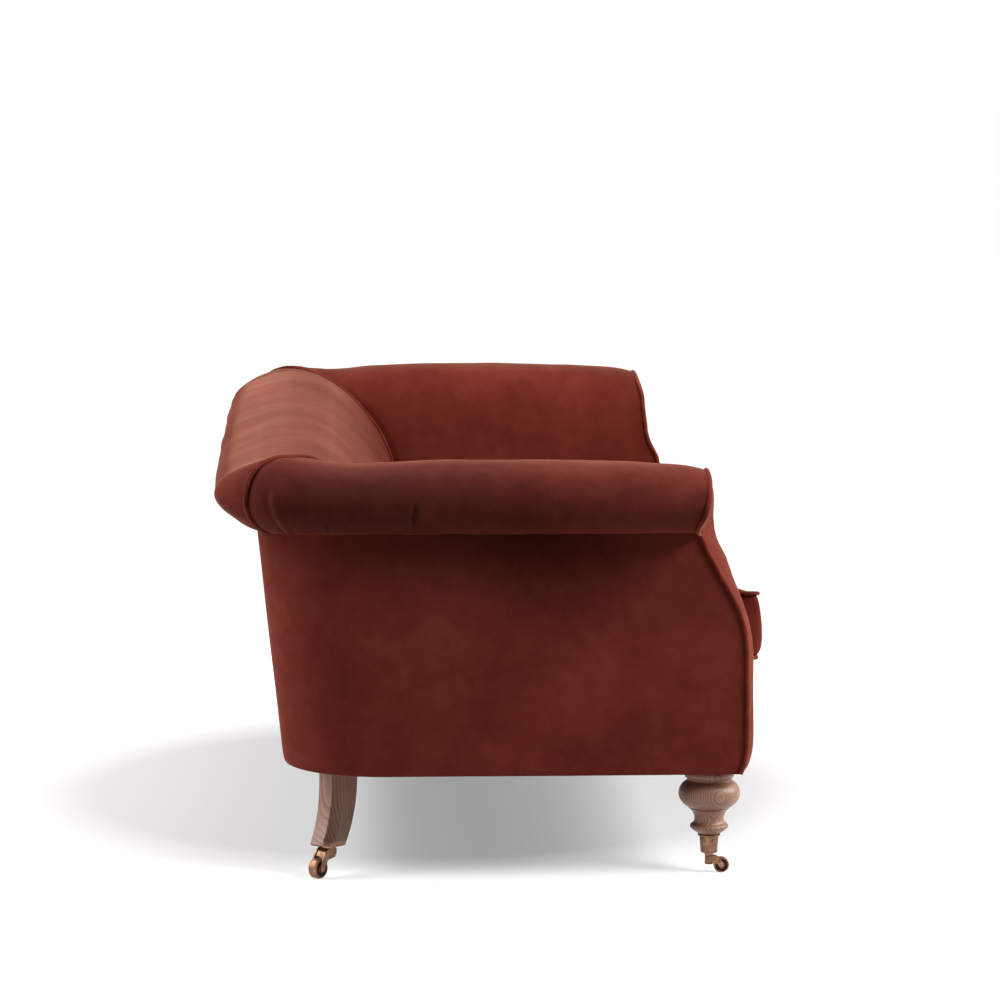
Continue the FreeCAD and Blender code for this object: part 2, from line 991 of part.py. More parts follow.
def rear_plate():
    x, y = rear_castor_centre()
    half = plate_side / 2
    plate = box((-half, -half, 0), (half, half, plate_wall))
    plate = turn(plate, Vector(0, 0, 0), up, 45)
    plate = moved(plate, x, y, rear_leg_foot_height - plate_wall)
    return plate.fuse(pin(rear_castor, x, y, rear_horn_top(), rear_leg_foot_height - plate_wall / 2))


def castor_frame(shape, castor, x, y):
    # castors are built with the swivel axis at the origin and the wheel trailing along +X
    placed = turn(shape, Vector(0, 0, 0), up, castor["trail_turn"])
    return moved(placed, x, y, 0)


def cheek(castor, top):
    # one side of the fork: from beside the boss, down and back to the axle
    reach = trail(castor)
    hub = castor["hub_radius"]
    axle_height = castor["wheel_radius"]
    height = castor["boss_height"]
    start = -castor["boss_radius"] / 2

    def point(along, height):
        return Vector(along, 0, height)

    neck = point(start, top - cheek_neck_share * height)
    heel = point(start, top - cheek_heel_share * height)
    knee = point(reach + hub * diagonal, axle_height + hub * diagonal)
    under = point(reach, axle_height - hub)
    rise = (neck + knee) / 2 + up * (cheek_bow_share * hub)
    belly = (heel + under) / 2 + up * (cheek_bow_share * hub)
    edges = [
        arc(neck, rise, knee),
        arc(knee, point(reach + hub, axle_height), under),
        arc(under, belly, heel),
        line(heel, neck),
    ]
    return Part.Face(Part.Wire(edges)).extrude(Vector(0, castor["cheek_wall"], 0))


def horn(castor, top):
    # the axle is riveted into the cheeks, so it is part of the horn
    inner = castor["wheel_width"] / 2 + horn_gap
    outer = inner + castor["cheek_wall"]
    base = top - castor["boss_height"]
    boss = Part.makeCylinder(castor["boss_radius"], castor["boss_height"], Vector(0, 0, base))
    side = cheek(castor, top)
    axle = Part.makeCylinder(
        castor["axle_radius"], 2 * inner, Vector(trail(castor), -inner, castor["wheel_radius"]), Vector(0, 1, 0)
    )
    body = boss.fuse([moved(side, 0, inner, 0), moved(side, 0, -outer, 0), axle])
    floor = base + castor["pin_floor"] - running_gap
    bore = Part.makeCylinder(castor["pin_radius"] + running_gap, top - floor + overrun, Vector(0, 0, floor))
    return body.cut(bore)


def wheel(castor):
    radius = castor["wheel_radius"]
    width = castor["wheel_width"]
    start = Vector(trail(castor), -width / 2, radius)
    disc = Part.makeCylinder(radius, width, start, Vector(0, 1, 0))
    return disc.cut(Part.makeCylinder(castor["axle_radius"] + running_gap, width, start, Vector(0, 1, 0)))


def save_castors():
    rear_x, rear_y = rear_castor_centre()
    for place, castor, top, x, y in (
        ("front", front_castor, front_horn_top(), front_leg_x, front_leg_y),
        ("rear", rear_castor, rear_horn_top(), rear_x, rear_y),
    ):
        pieces = {"horn": horn(castor, top), "wheel": wheel(castor)}
        for piece in pieces:
            right = castor_frame(pieces[piece], castor, x, y)
            save(place + "_right_castor_" + piece, right)
            save(place + "_left_castor_" + piece, mirrored(right))
    save("front_castor_cups", both_sides(front_cup()))
    save("rear_castor_plates", both_sides(rear_plate()))


def save_pair(name, shape):
    save(name + "_right", shape)
    save(name + "_left", mirrored(shape))


os.makedirs("parts", exist_ok=True)

save("front_rail", front_rail().cut(both_sides(bolt_hole(front_leg_x, front_leg_y))))
save("rear_rail", rear_rail())
save("side_rails", both_sides(side_rail()))
save("corner_rails", both_sides(corner_rail().cut(bolt_hole(rear_leg_x, rear_leg_y))))
save("cross_rails", cross_rails())
save("front_leg_blocks", both_sides(leg_block().cut(bolt_hole(front_leg_x, front_leg_y))))
save("corner_posts", both_sides(corner_post()))
save("arm_posts", both_sides(arm_post()))
save("arm_top_rails", both_sides(arm_top_rail()))
save("back_top_rail", back_top_rail())
save("corner_bends", both_sides(corner_bend()))
save("arm_stay_rails", both_sides(arm_stay_rail()))
save("back_ribs", back_ribs())
save("scroll_boards", both_sides(scroll_board()))

save("seat_webbing", seat_webbing())
save("cross_webbing", cross_webbing())
save("back_webbing", back_webbing())
save("arm_webbing", arm_webbing())
save("seat_platform", seat_platform())

save("back_pad", back_pad())
save("arm_pads", both_sides(arm_pad()))
save("back_cover", back_cover())
save("arm_covers", both_sides(arm_cover()))
save("outside_cover", outside_cover())
save("front_border", front_border())
save("arm_facings", both_sides(arm_facing()))
save("facing_piping", both_sides(facing_piping()))
save("mitre_piping", both_sides(mitre_piping()))
save("dust_cover", dust_cover())
save_pair("seat_cushion", cushion())

save("front_legs", both_sides(front_leg()))
save("rear_legs", both_sides(rear_leg()))
save("leg_bolts", leg_bolts())
save_castors()
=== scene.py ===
import json
import math

import bmesh
import bpy
from mathutils import Matrix, Vector, noise


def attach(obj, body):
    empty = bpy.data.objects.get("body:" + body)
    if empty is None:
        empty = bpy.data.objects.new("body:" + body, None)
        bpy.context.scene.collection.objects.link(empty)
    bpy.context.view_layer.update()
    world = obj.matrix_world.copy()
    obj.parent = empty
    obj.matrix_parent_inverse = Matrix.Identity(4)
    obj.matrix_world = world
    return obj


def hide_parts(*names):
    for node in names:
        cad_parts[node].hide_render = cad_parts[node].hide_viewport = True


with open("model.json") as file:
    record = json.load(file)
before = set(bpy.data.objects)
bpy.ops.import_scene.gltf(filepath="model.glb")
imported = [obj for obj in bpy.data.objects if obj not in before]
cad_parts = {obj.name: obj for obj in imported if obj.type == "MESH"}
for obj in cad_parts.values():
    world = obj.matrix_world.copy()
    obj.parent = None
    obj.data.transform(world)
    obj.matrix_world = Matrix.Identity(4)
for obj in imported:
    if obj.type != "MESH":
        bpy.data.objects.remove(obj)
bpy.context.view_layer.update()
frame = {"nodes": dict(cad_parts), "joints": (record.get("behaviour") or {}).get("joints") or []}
scene = bpy.context.scene
mm = 0.001
eighthTurn = math.radians(45)
diagonal = 0.7071


# small helpers

def hexColour(code):
    # an sRGB hex colour, turned linear
    channels = [int(code[i:i + 2], 16) / 255 for i in (1, 3, 5)]
    return tuple(c / 12.92 if c <= 0.04045 else ((c + 0.055) / 1.055) ** 2.4 for c in channels) + (1.0,)


def clamp(value):
    return min(1.0, max(0.0, value))


def ripple(x, y, z):
    # smooth noise from -1 to 1
    return noise.noise(Vector((x, y, z)))


def lookUp(table, key):
    # straight interpolation in a table of (key, value), with level ends
    if key <= table[0][0]:
        return table[0][1]
    for (lowKey, low), (highKey, high) in zip(table, table[1:]):
        if key <= highKey:
            return low + (high - low) * (key - lowKey) / max(highKey - lowKey, 1e-9)
    return table[-1][1]


def evenSteps(low, high, step):
    count = max(1, round((high - low) / step))
    return [low + (high - low) * i / count for i in range(count + 1)]


def soften(distance, reach):
    # 1 at a seam, fading to 0 within a few reaches
    return math.exp(-(distance / reach) ** 2)


def curveMesh(kind, places, closed, **settings):
    # the mesh that Blender makes of a Bezier curve or a row of straight lines
    curve = bpy.data.curves.new("line", "CURVE")
    curve.dimensions = "3D"
    for name, value in settings.items():
        setattr(curve, name, value)
    spline = curve.splines.new(kind)
    points = spline.bezier_points if kind == "BEZIER" else spline.points
    points.add(len(places) - 1)
    spline.use_cyclic_u = closed
    for point, place in zip(points, places):
        point.co = place if kind == "BEZIER" else (*place, 1.0)
    for point in spline.bezier_points:
        point.handle_left_type = "AUTO"
        point.handle_right_type = "AUTO"
    holder = bpy.data.objects.new("line", curve)
    mesh = bpy.data.meshes.new_from_object(holder)
    bpy.data.objects.remove(holder)
    bpy.data.curves.remove(curve)
    return mesh


def smoothLine(knots, spacing, closed=False):
    # a Bezier curve through the knots, cut into even steps
    places = [(*knot, 0.0) if len(knot) == 2 else knot for knot in knots]
    mesh = curveMesh("BEZIER", places, closed, resolution_u=24)
    dense = [v.co.copy() for v in mesh.vertices]
    bpy.data.meshes.remove(mesh)
    if closed:
        dense.append(dense[0].copy())
    lengths = [0.0]
    for a, b in zip(dense, dense[1:]):
        lengths.append(lengths[-1] + (b - a).length)
    count = max(2, round(lengths[-1] / spacing))
    rows = [[(s, p[axis]) for s, p in zip(lengths, dense)] for axis in range(3)]
    steps = [lengths[-1] * i / count for i in range(count if closed else count + 1)]
    return [Vector([lookUp(row, s) for row in rows]) for s in steps]


def smoothTable(knots, spacing, byHeight=False):
    # a smooth line as a table for lookUp, by its first or by its second number
    line = smoothLine(knots, spacing)
    return sorted((p.y, p.x) if byHeight else (p.x, p.y) for p in line)


def withNormals(line):
    # pairs of a point and the direction square to the line there, in the line's own plane
    pairs = []
    for before, point, after in zip(line[:1] + line, line, line[1:] + line[-1:]):
        along = (after - before).normalized()
        pairs.append((point, Vector((-along.y, along.x, 0.0))))
    return pairs


def finishPiece(name, bm, material, body="root", replaces=(), sharp=50, levels=0, wall=0.0):
    # turns a bmesh into a piece of the scene that rides on its body; wall is in millimetres
    bm.normal_update()
    for face in bm.faces:
        face.smooth = True
    for edge in bm.edges:
        if len(edge.link_faces) == 2 and edge.calc_face_angle(0.0) > math.radians(sharp):
            edge.smooth = False
    mesh = bpy.data.meshes.new(name)
    bm.to_mesh(mesh)
    bm.free()
    mesh.materials.append(material)
    piece = bpy.data.objects.new(name, mesh)
    scene.collection.objects.link(piece)
    if wall:
        solidify = piece.modifiers.new("wall", "SOLIDIFY")
        solidify.thickness = wall * mm
        solidify.offset = -1.0
    if levels:
        smoothing = piece.modifiers.new("smoothing", "SUBSURF")
        smoothing.levels = levels
        smoothing.render_levels = levels
    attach(piece, body)
    if replaces:
        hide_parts(*replaces)
    return piece


def addForm(bm, form, matrix=Matrix()):
    # moves one bmesh into another, placed by the matrix
    bmesh.ops.transform(form, matrix=matrix, verts=form.verts)
    mesh = bpy.data.meshes.new("form")
    form.to_mesh(mesh)
    form.free()
    bm.from_mesh(mesh)
    bpy.data.meshes.remove(mesh)


def addTube(bm, points, radius, closed=False):
    # a round cord along the points, added to the bmesh; the radius is in millimetres
    mesh = curveMesh("POLY", points, closed, bevel_depth=radius * mm, bevel_resolution=5,
                     use_fill_caps=not closed, twist_mode="MINIMUM")
    bm.from_mesh(mesh)
    bpy.data.meshes.remove(mesh)


def addLine(bm, places, closed=False):
    # vertices at the places, joined by edges in their order
    verts = [bm.verts.new(place) for place in places]
    ends = verts[1:] + (verts[:1] if closed else [])
    return verts, [bm.edges.new(pair) for pair in zip(verts, ends)]


def addBox(bm, low, high):
    bmesh.ops.create_cube(bm, size=1.0)
    bmesh.ops.scale(bm, vec=high - low, verts=bm.verts)
    bmesh.ops.translate(bm, vec=(high + low) / 2, verts=bm.verts)


def vertsOf(items):
    return [item for item in items if isinstance(item, bmesh.types.BMVert)]


def facesOf(items):
    return [item for item in items if isinstance(item, bmesh.types.BMFace)]


def cutGrid(bm, axis, places):
    # cuts the whole mesh by planes across one axis
    normal = Vector([1.0 if i == axis else 0.0 for i in range(3)])
    for place in places:
        geometry = bm.verts[:] + bm.edges[:] + bm.faces[:]
        bmesh.ops.bisect_plane(bm, geom=geometry, dist=1e-6, plane_co=normal * place, plane_no=normal)


def cutEvenly(bm, axis, low, high, step):
    cutGrid(bm, axis, evenSteps(low, high, step)[1:-1])


def growRows(bm, edges, stations, settle):
    # each station copies the last row of edges, and settle puts each new vertex in its place there
    for station in stations:
        grown = bmesh.ops.extrude_edge_only(bm, edges=edges)["geom"]
        fresh = set(vertsOf(grown))
        for vert in fresh:
            settle(vert, station)
        edges = [item for item in grown if isinstance(item, bmesh.types.BMEdge) and set(item.verts) <= fresh]
    return edges


def faceOut(bm):
    bmesh.ops.recalc_face_normals(bm, faces=bm.faces)


def thicken(bm, move):
    # sweeps the flat faces along the move into a closed solid
    grown = bmesh.ops.extrude_face_region(bm, geom=bm.faces[:], use_keep_orig=True)["geom"]
    bmesh.ops.translate(bm, vec=move, verts=vertsOf(grown))
    faceOut(bm)


def roundOff(bm, geometry, offset, segments, affect="EDGES"):
    bmesh.ops.bevel(bm, geom=geometry, offset=offset, offset_type="OFFSET", affect=affect, segments=segments,
                    profile=0.5, material=-1)


def toMetres(bm):
    bmesh.ops.scale(bm, vec=(mm, mm, mm), verts=bm.verts)


def copyAll(bm):
    return bmesh.ops.duplicate(bm, geom=bm.verts[:] + bm.edges[:] + bm.faces[:])["geom"]


def mirrorTwin(bm):
    twin = copyAll(bm)
    bmesh.ops.scale(bm, vec=(-1, 1, 1), verts=vertsOf(twin))
    bmesh.ops.reverse_faces(bm, faces=facesOf(twin))


def faceTowards(bm, place, direction):
    # turns the skin so that the face nearest the place looks in the direction
    faceOut(bm)
    probe = min(bm.faces, key=lambda f: (f.calc_center_median() - Vector(place)).length)
    if probe.normal.dot(Vector(direction)) < 0:
        bmesh.ops.reverse_faces(bm, faces=bm.faces)
    bm.normal_update()


class Nodes:
    # the node tree of a material or the world; each method adds nodes and gives back the socket to use

    def __init__(self, holder):
        holder.use_nodes = True
        self.tree = holder.node_tree
        self.tree.nodes.clear()

    def add(self, kind, inputs, out=0, **settings):
        # inputs take a plain value or the socket that drives them
        node = self.tree.nodes.new("ShaderNode" + kind)
        for name, value in settings.items():
            setattr(node, name, value)
        for name, value in inputs.items():
            if isinstance(value, bpy.types.NodeSocket):
                self.tree.links.new(value, node.inputs[name])
            else:
                node.inputs[name].default_value = value
        return node.outputs[out] if node.outputs else None

    def math(self, operation, *values):
        return self.add("Math", dict(enumerate(values)), operation=operation)

    def vector(self, operation, *values, out="Vector"):
        return self.add("VectorMath", dict(enumerate(values)), out, operation=operation)

    def mix(self, *pairs):
        # the sum of (socket, share) pairs
        total = 0.0
        for value, share in pairs:
            total = self.math("MULTIPLY_ADD", value, share, total)
        return total

    def object(self):
        return self.add("TexCoord", {}, "Object")

    def mapping(self, place, **changes):
        return self.add("Mapping", {"Vector": place, **changes})

    def noise(self, place, size, detail, roughness=0.5, out="Fac"):
        # one patch is as large as the size in millimetres
        inputs = {"Vector": place, "Scale": 1000 / size, "Detail": detail, "Roughness": roughness}
        return self.add("TexNoise", inputs, out)

    def wave(self, place, size, distortion, detail, detailScale=1.0, **settings):
        # a wave texture of scale 1 repeats every 0.314 m
        inputs = {"Vector": place, "Scale": 100 * math.pi / size, "Distortion": distortion, "Detail": detail,
                  "Detail Scale": detailScale}
        return self.add("TexWave", inputs, "Fac", **settings)

    def span(self, value, fromMin, fromMax, toMin, toMax):
        return self.add("MapRange", {"Value": value, "From Min": fromMin, "From Max": fromMax,
                                     "To Min": toMin, "To Max": toMax})

    def ramp(self, value, positions, colours):
        # lowest position first
        socket = self.add("ValToRGB", {"Fac": value}, "Color")
        bar = socket.node.color_ramp
        stops = [(position, hexColour(colour)) for position, colour in zip(positions, colours)]
        bar.elements[0].position, bar.elements[0].color = stops[0]
        bar.elements[1].position, bar.elements[1].color = stops[-1]
        for position, colour in stops[1:-1]:
            bar.elements.new(position).color = colour
        return socket

    def bump(self, height, strength, depth, **under):
        # the depth is in millimetres
        return self.add("Bump", {"Height": height, "Strength": strength, "Distance": depth * mm, **under})

    def seen(self):
        # 1 for light on its way to the camera, also by glass or gloss, and 0 for light that falls on things
        rays = self.tree.nodes.new("ShaderNodeLightPath").outputs
        straight = self.math("MAXIMUM", rays["Is Camera Ray"], rays["Is Transmission Ray"])
        return self.math("MAXIMUM", straight, rays["Is Glossy Ray"])


def shadedMaterial(name, paint):
    # a new material whose shader is what paint makes of its nodes
    material = bpy.data.materials.new(name)
    nodes = Nodes(material)
    nodes.add("OutputMaterial", {"Surface": paint(nodes)})
    return material


# camera, lights and floor

view = {"place": (-8.578, 0.2885, 1.625), "tilt": 82.927, "turn": -92.275, "lens": 157.6, "reach": 200.0}

cameraData = bpy.data.cameras.new("camera")
cameraData.lens = view["lens"]
cameraData.sensor_width = 36.0
cameraData.clip_end = view["reach"]
camera = bpy.data.objects.new("camera", cameraData)
camera.location = view["place"]
camera.rotation_euler = (math.radians(view["tilt"]), 0.0, math.radians(view["turn"]))
scene.collection.objects.link(camera)
scene.camera = camera

# each lamp's bearing from straight in front of the sofa towards its left arm, height above level,
# size in metres and power in watts
studio = {
    "aim": (-0.4, 0.0, 0.4), "distance": 5.0, "ambient": 0.06,
    "lamps": {
        "key": (30, 35, 2.0, 196.0), "front": (0, 20, 2.0, 126.0), "rear": (180, 27, 4.5, 165.0),
        "rearHigh": (200, 45, 2.0, 102.0), "top": (0, 88, 2.0, 23.0), "fill": (-90, 35, 2.0, 22.0),
    },
}

for name, (bearing, height, size, power) in studio["lamps"].items():
    data = bpy.data.lights.new(name + "Lamp", "AREA")
    data.shape = "DISK"
    data.size = size
    data.energy = power
    lamp = bpy.data.objects.new(name + "Lamp", data)
    bearing, height = math.radians(bearing), math.radians(height)
    level = math.cos(height)
    away = Vector((-math.sin(bearing) * level, -math.cos(bearing) * level, math.sin(height)))
    lamp.location = Vector(studio["aim"]) + away * studio["distance"]
    lamp.rotation_euler = (-away).to_track_quat("-Z", "Y").to_euler()
    scene.collection.objects.link(lamp)

scene.view_settings.view_transform = "Standard"

# the world is white to the camera and lights the sofa only faintly
world = bpy.data.worlds.new("studio")
scene.world = world
skyNodes = Nodes(world)
strength = skyNodes.span(skyNodes.seen(), 0.0, 1.0, studio["ambient"], 1.0)
sky = skyNodes.add("Background", {"Color": (1.0, 1.0, 1.0, 1.0), "Strength": strength})
skyNodes.add("OutputWorld", {"Surface": sky})

# glow and grey are given as distances from and to, and values near and far
floorLook = {"reach": 40.0, "middle": (-0.1, 0.1, 0.0), "glow": (0.65, 1.25, 0.23, 1.0),
             "grey": (1.3, 2.4, 0.7, 0.12)}


def studioPaper(nodes):
    # matt white studio paper: no gloss, keeps a soft shadow, glows to white away from the sofa
    away = nodes.vector("DISTANCE", nodes.object(), floorLook["middle"], out="Value")
    glow = nodes.math("MULTIPLY", nodes.span(away, *floorLook["glow"]), nodes.seen())
    # the paper gives back less light further off, so that the sides of the sofa keep their shadows
    paper = nodes.add("BsdfDiffuse", {"Color": nodes.span(away, *floorLook["grey"])})
    shine = nodes.add("Emission", {"Color": (1.0, 1.0, 1.0, 1.0), "Strength": glow})
    return nodes.add("AddShader", {0: paper, 1: shine})


bm = bmesh.new()
bmesh.ops.create_grid(bm, x_segments=4, y_segments=4, size=floorLook["reach"])
floorMesh = bpy.data.meshes.new("floor")
bm.to_mesh(floorMesh)
bm.free()
floorMesh.materials.append(shadedMaterial("studioPaper", studioPaper))
floor = bpy.data.objects.new("floor", floorMesh)
scene.collection.objects.link(floor)
print("camera, lights and floor are set")


# materials; sizes are in millimetres

velvetLook = {
    "colours": ("#5e2218", "#6d2a1f", "#7c3428"), "bloom": "#c38e73", "sheen": 0.8, "sheenRoughness": 0.22,
    "patch": 210, "shading": 30, "fibre": 2.0, "shares": (0.5, 0.22, 0.28), "warp": 0.12,
}


def velvetMaterial(name, look, withPaintedShade=False):
    # cotton velvet, woven and cut: a dense pile, matt when faced, pale where the pile is seen from its side
    def paint(nodes):
        place = nodes.object()
        warp = nodes.noise(place, look["patch"] * 2, 1.0, out="Color")
        drift = nodes.vector("ADD", place, nodes.vector("MULTIPLY", warp, (look["warp"],) * 3))
        patch = nodes.noise(drift, look["patch"], 3.0, 0.55)
        shading = nodes.noise(place, look["shading"], 2.0, 0.6)
        # the real pile is 0.2 mm; it is drawn ten times coarser so that it shows
        fibre = nodes.noise(place, look["fibre"], 2.0, 0.7)
        tone = nodes.mix(*zip((patch, shading, fibre), look["shares"]))
        tint = nodes.ramp(tone, (0.36, 0.5, 0.66), look["colours"])
        bloom = look["sheen"]
        fine = nodes.bump(fibre, 0.22, 0.5)
        if withPaintedShade:
            # painted shade: the colour and the sheen are darkened by the cloth's per-vertex value, 1 being
            # unshaded and lower darker
            paintedLight = nodes.add("Attribute", {}, "Fac", attribute_name="paintedLight")
            depth = nodes.math("POWER", paintedLight, 0.65)
            tint = nodes.add("VectorMath", {0: tint, "Scale": depth}, operation="SCALE")
            bloom = nodes.math("MULTIPLY", nodes.math("POWER", paintedLight, 1.8), bloom)
        return nodes.add("BsdfPrincipled", {
            "Base Color": tint, "Roughness": nodes.span(tone, 0.35, 0.65, 0.92, 0.74),
            "Normal": nodes.bump(patch, 0.15, 5, Normal=fine), "IOR": 1.5, "Specular IOR Level": 0.08,
            "Sheen Weight": bloom, "Sheen Roughness": look["sheenRoughness"],
            "Sheen Tint": hexColour(look["bloom"])})
    return shadedMaterial(name, paint)


def weaveMaterial(name, colours, thread, roughness, slub):
    # plain-woven cloth: over and under in a checker of two thread directions, dull, with slubs
    def paint(nodes):
        place = nodes.object()
        slubs = nodes.noise(place, slub, 3.0, 0.6)
        across, along = [nodes.wave(place, thread, 0.6, 1.0, wave_type="BANDS", bands_direction=way)
                         for way in "XY"]
        weave = nodes.math("MULTIPLY", across, along)
        tone = nodes.math("MULTIPLY_ADD", weave, 0.5, slubs)
        return nodes.add("BsdfPrincipled", {
            "Base Color": nodes.ramp(tone, (0.35, 0.85), colours), "Roughness": roughness,
            "Normal": nodes.bump(weave, 0.5, 0.3), "Specular IOR Level": 0.25, "Sheen Weight": 0.2,
            "Sheen Roughness": 0.5})
    return shadedMaterial(name, paint)


def timberMaterial(name, colours, ring, axis, wear, roughness, source="Object"):
    # solid timber: growth rings cut lengthwise show as long arches, with fine dark pores along the grain
    def paint(nodes):
        if source == "Object":
            place = nodes.object()
        else:
            place = nodes.add("Attribute", {}, "Vector", attribute_name=source)
        turns = {"X": (0.0, math.pi / 2, 0.0), "Y": (math.pi / 2, 0.0, 0.0), "Z": (0.0, 0.0, 0.0)}
        grain = nodes.mapping(place, Rotation=turns[axis])
        stretched = nodes.mapping(grain, Scale=(1.0, 1.0, 0.07))
        wander = nodes.noise(stretched, 45, 2.0, out="Color")
        shift = nodes.mapping(grain, Location=(0.075, 0.012, 0.0), Scale=(1.0, 1.0, 0.16))
        push = nodes.vector("MULTIPLY", wander, (0.011, 0.011, 0.0))
        bands = nodes.wave(nodes.vector("ADD", shift, push), ring, 1.2, 2.0, 1.6, wave_type="RINGS",
                           rings_direction="Z", wave_profile="SAW")
        pores = nodes.noise(nodes.mapping(grain, Scale=(1.0, 1.0, 0.03)), 1.1, 2.0, 0.7)
        patch = nodes.noise(stretched, 60, 3.0)
        tone = nodes.mix((bands, 0.32), (pores, 0.34), (patch, wear))
        height = nodes.math("MULTIPLY_ADD", bands, 0.5, pores)
        return nodes.add("BsdfPrincipled", {
            "Base Color": nodes.ramp(tone, (0.26, 0.44, 0.72), colours),
            "Roughness": nodes.span(pores, 0.0, 1.0, roughness + 0.12, roughness - 0.1),
            "Normal": nodes.bump(height, 0.35, 0.6), "IOR": 1.5, "Coat Weight": 0.25, "Coat Roughness": 0.25})
    return shadedMaterial(name, paint)


def metalMaterial(name, colours, patch, roughness):
    # cast and turned metal, left to tone: warm where it is rubbed, brown in the dips, fine turning marks
    def paint(nodes):
        place = nodes.object()
        tarnish = nodes.noise(place, patch, 4.0, 0.65)
        marks = nodes.noise(place, 0.8, 1.0)
        return nodes.add("BsdfPrincipled", {
            "Base Color": nodes.ramp(tarnish, (0.34, 0.5, 0.68), colours), "Metallic": 1.0,
            "Roughness": nodes.span(tarnish, 0.3, 0.7, roughness + 0.18, roughness - 0.08),
            "Normal": nodes.bump(marks, 0.2, 0.15)})
    return shadedMaterial(name, paint)


velvet = velvetMaterial("cutVelvet", velvetLook)
# the same velvet with painted shade, darkened per vertex on the arms, the back and the outside panel
paintedShadeVelvet = velvetMaterial("paintedShadeVelvet", velvetLook, withPaintedShade=True)
# the same velvet on the bias round a cord, painted lighter to stand for the highlight along the cord
pipingVelvet = velvetMaterial("pipingVelvet", dict(
    velvetLook, patch=60, colours=("#5e2218", "#753125", "#914637"), sheen=0.7))
blackCloth = weaveMaterial("blackWovenCloth", ("#0b0b0b", "#262422"), 1.6, 0.9, 12)
deckCloth = weaveMaterial("wovenDeckCloth", ("#4a2a1e", "#6b4433"), 1.8, 0.9, 14)
juteCloth = weaveMaterial("juteWebbing", ("#6a5236", "#a88a60"), 2.6, 0.92, 9)
weatheredOak = timberMaterial(
    "weatheredOak", ("#6b4431", "#93634b", "#b58568"), 4.2, "Z", 0.16, 0.46, source="grain")
beech = {axis: timberMaterial("sawnBeech" + axis, ("#9a7350", "#c19a6c", "#d8b88c"), 7.0, axis, 0.2, 0.6)
         for axis in "XYZ"}
birchPly = timberMaterial("birchPlywood", ("#a98258", "#ccaa78", "#dec394"), 3.0, "Z", 0.2, 0.6)
antiqueBrass = metalMaterial("antiqueBrass", ("#604638", "#7d5c48", "#987459"), 13, 0.36)
# dark brass that paints shade on the castor wheels' dished faces
paintedShadeBrass = metalMaterial("wheelShadeBrass", ("#1d120d", "#33221a", "#4e3628"), 6, 0.5)
plainSteel = metalMaterial("zincedSteel", ("#6f7172", "#9a9c9c", "#bcbdbd"), 14, 0.38)
print("materials are made")


# carried-over frame parts, each with its own timber direction

carried = [
    (beech["X"], ("front_rail", "rear_rail", "back_top_rail", "front_leg_blocks")),
    (beech["Y"], ("side_rails", "cross_rails", "arm_top_rails", "arm_stay_rails")),
    (beech["Z"], ("corner_rails", "corner_bends", "corner_posts", "arm_posts")),
    (birchPly, ("back_ribs",)), (plainSteel, ("leg_bolts",)),
    (juteCloth, ("seat_webbing", "cross_webbing", "back_webbing", "arm_webbing")),
]
for material, names in carried:
    for name in names:
        data = frame["nodes"][name].data
        data.materials.clear()
        data.materials.append(material)
print("frame parts have their materials")


# the scroll section, shared by arms and back; u runs in from the outermost line of the roll, in millimetres

sofa = {"halfLength": 1050, "halfDepth": 492, "cornerIn": 190, "base": 190, "rollBase": 619, "crest": 748}
axisX = sofa["halfLength"] - sofa["cornerIn"]
axisY = sofa["halfDepth"] - sofa["cornerIn"]

rollKnots = [(86, 625), (62, 622.5), (36, 629), (12.5, 649), (1, 680), (8, 704), (24, 722), (66, 740.5),
             (125, 748), (152, 746.2), (175, 742), (190, 737)]
armInsideKnots = [(190, 737), (213, 715), (226, 682), (232, 640), (234.5, 560), (235, 450), (235, 352)]
backInsideKnots = [(190, 737), (208, 728), (236, 705), (270, 670), (304, 628), (325, 593), (343, 543),
                   (350, 470), (351, 352)]
neckKnots = [(76, 180), (76, 400), (76, 560), (76, 604), (73.5, 619)]

armLine = smoothLine(rollKnots + armInsideKnots[1:], 11)
backLine = smoothLine(rollKnots + backInsideKnots[1:], 11)
armInside = smoothTable(armInsideKnots, 6, byHeight=True)
backInside = smoothTable(backInsideKnots, 6, byHeight=True)

# how far forward the arm front stands at each height, along its inner and its outer side
innerFront = [(176, -460), (190, -465), (205, -471), (225, -474.5), (260, -475.5), (300, -474), (370, -473.5),
              (406, -472.5), (433, -469.5), (456, -463.5), (481, -455), (514, -442), (532, -434.5),
              (550, -430), (568, -421), (586, -413), (615, -407.5), (658, -405), (682, -404.5), (701, -401),
              (715, -397), (740, -391)]
outerFront = [(176, -444), (190, -449), (205, -455), (225, -459), (260, -460.6), (360, -460.6), (415, -460),
              (442, -457), (465, -451), (491, -441.7), (514, -429.4), (539, -416), (571, -398), (587, -390),
              (604, -384.5), (622, -377.5), (633, -375.4), (652, -379.6), (677, -385.6), (706, -390),
              (740, -394)]
innerTable = smoothTable(innerFront, 5)
outerTable = smoothTable(outerFront, 5)
crestTable = smoothTable([(-420, 721), (-386, 725), (-354, 732), (-297, 738), (-181, 743), (-6, 746),
                          (90, 745), (200, 741.5), (259, 740), (302, 745)], 10)
frontSides = {"inner": 840, "width": [(620, 134), (660, 205)],
              "back": [(370, 0), (420, 1), (570, 0), (610, 3)]}


def frontAt(x, z):
    share = (abs(x) - frontSides["inner"]) / lookUp(frontSides["width"], z)
    return lookUp(innerTable, z) * (1 - share) + lookUp(outerTable, z) * share + lookUp(frontSides["back"], z)


def underCrest(z, crest):
    # the roll is squeezed towards its base where the crest is lower
    base = sofa["rollBase"]
    return z if z < base else base + (z - base) * (crest - base) / (sofa["crest"] - base)


def outer(edges, spot):
    return [e for e in edges if all(v[spot][0] <= sofa["cornerIn"] + 0.01 for v in e.verts)]


# the corner knot must be a row of its own, so that the outer part can turn on alone
for line in (armLine, backLine):
    nearest = min(line, key=lambda p: abs(p.x - sofa["cornerIn"]) if p.y > 700 else 1e9)
    nearest.x, nearest.y = rollKnots[-1]

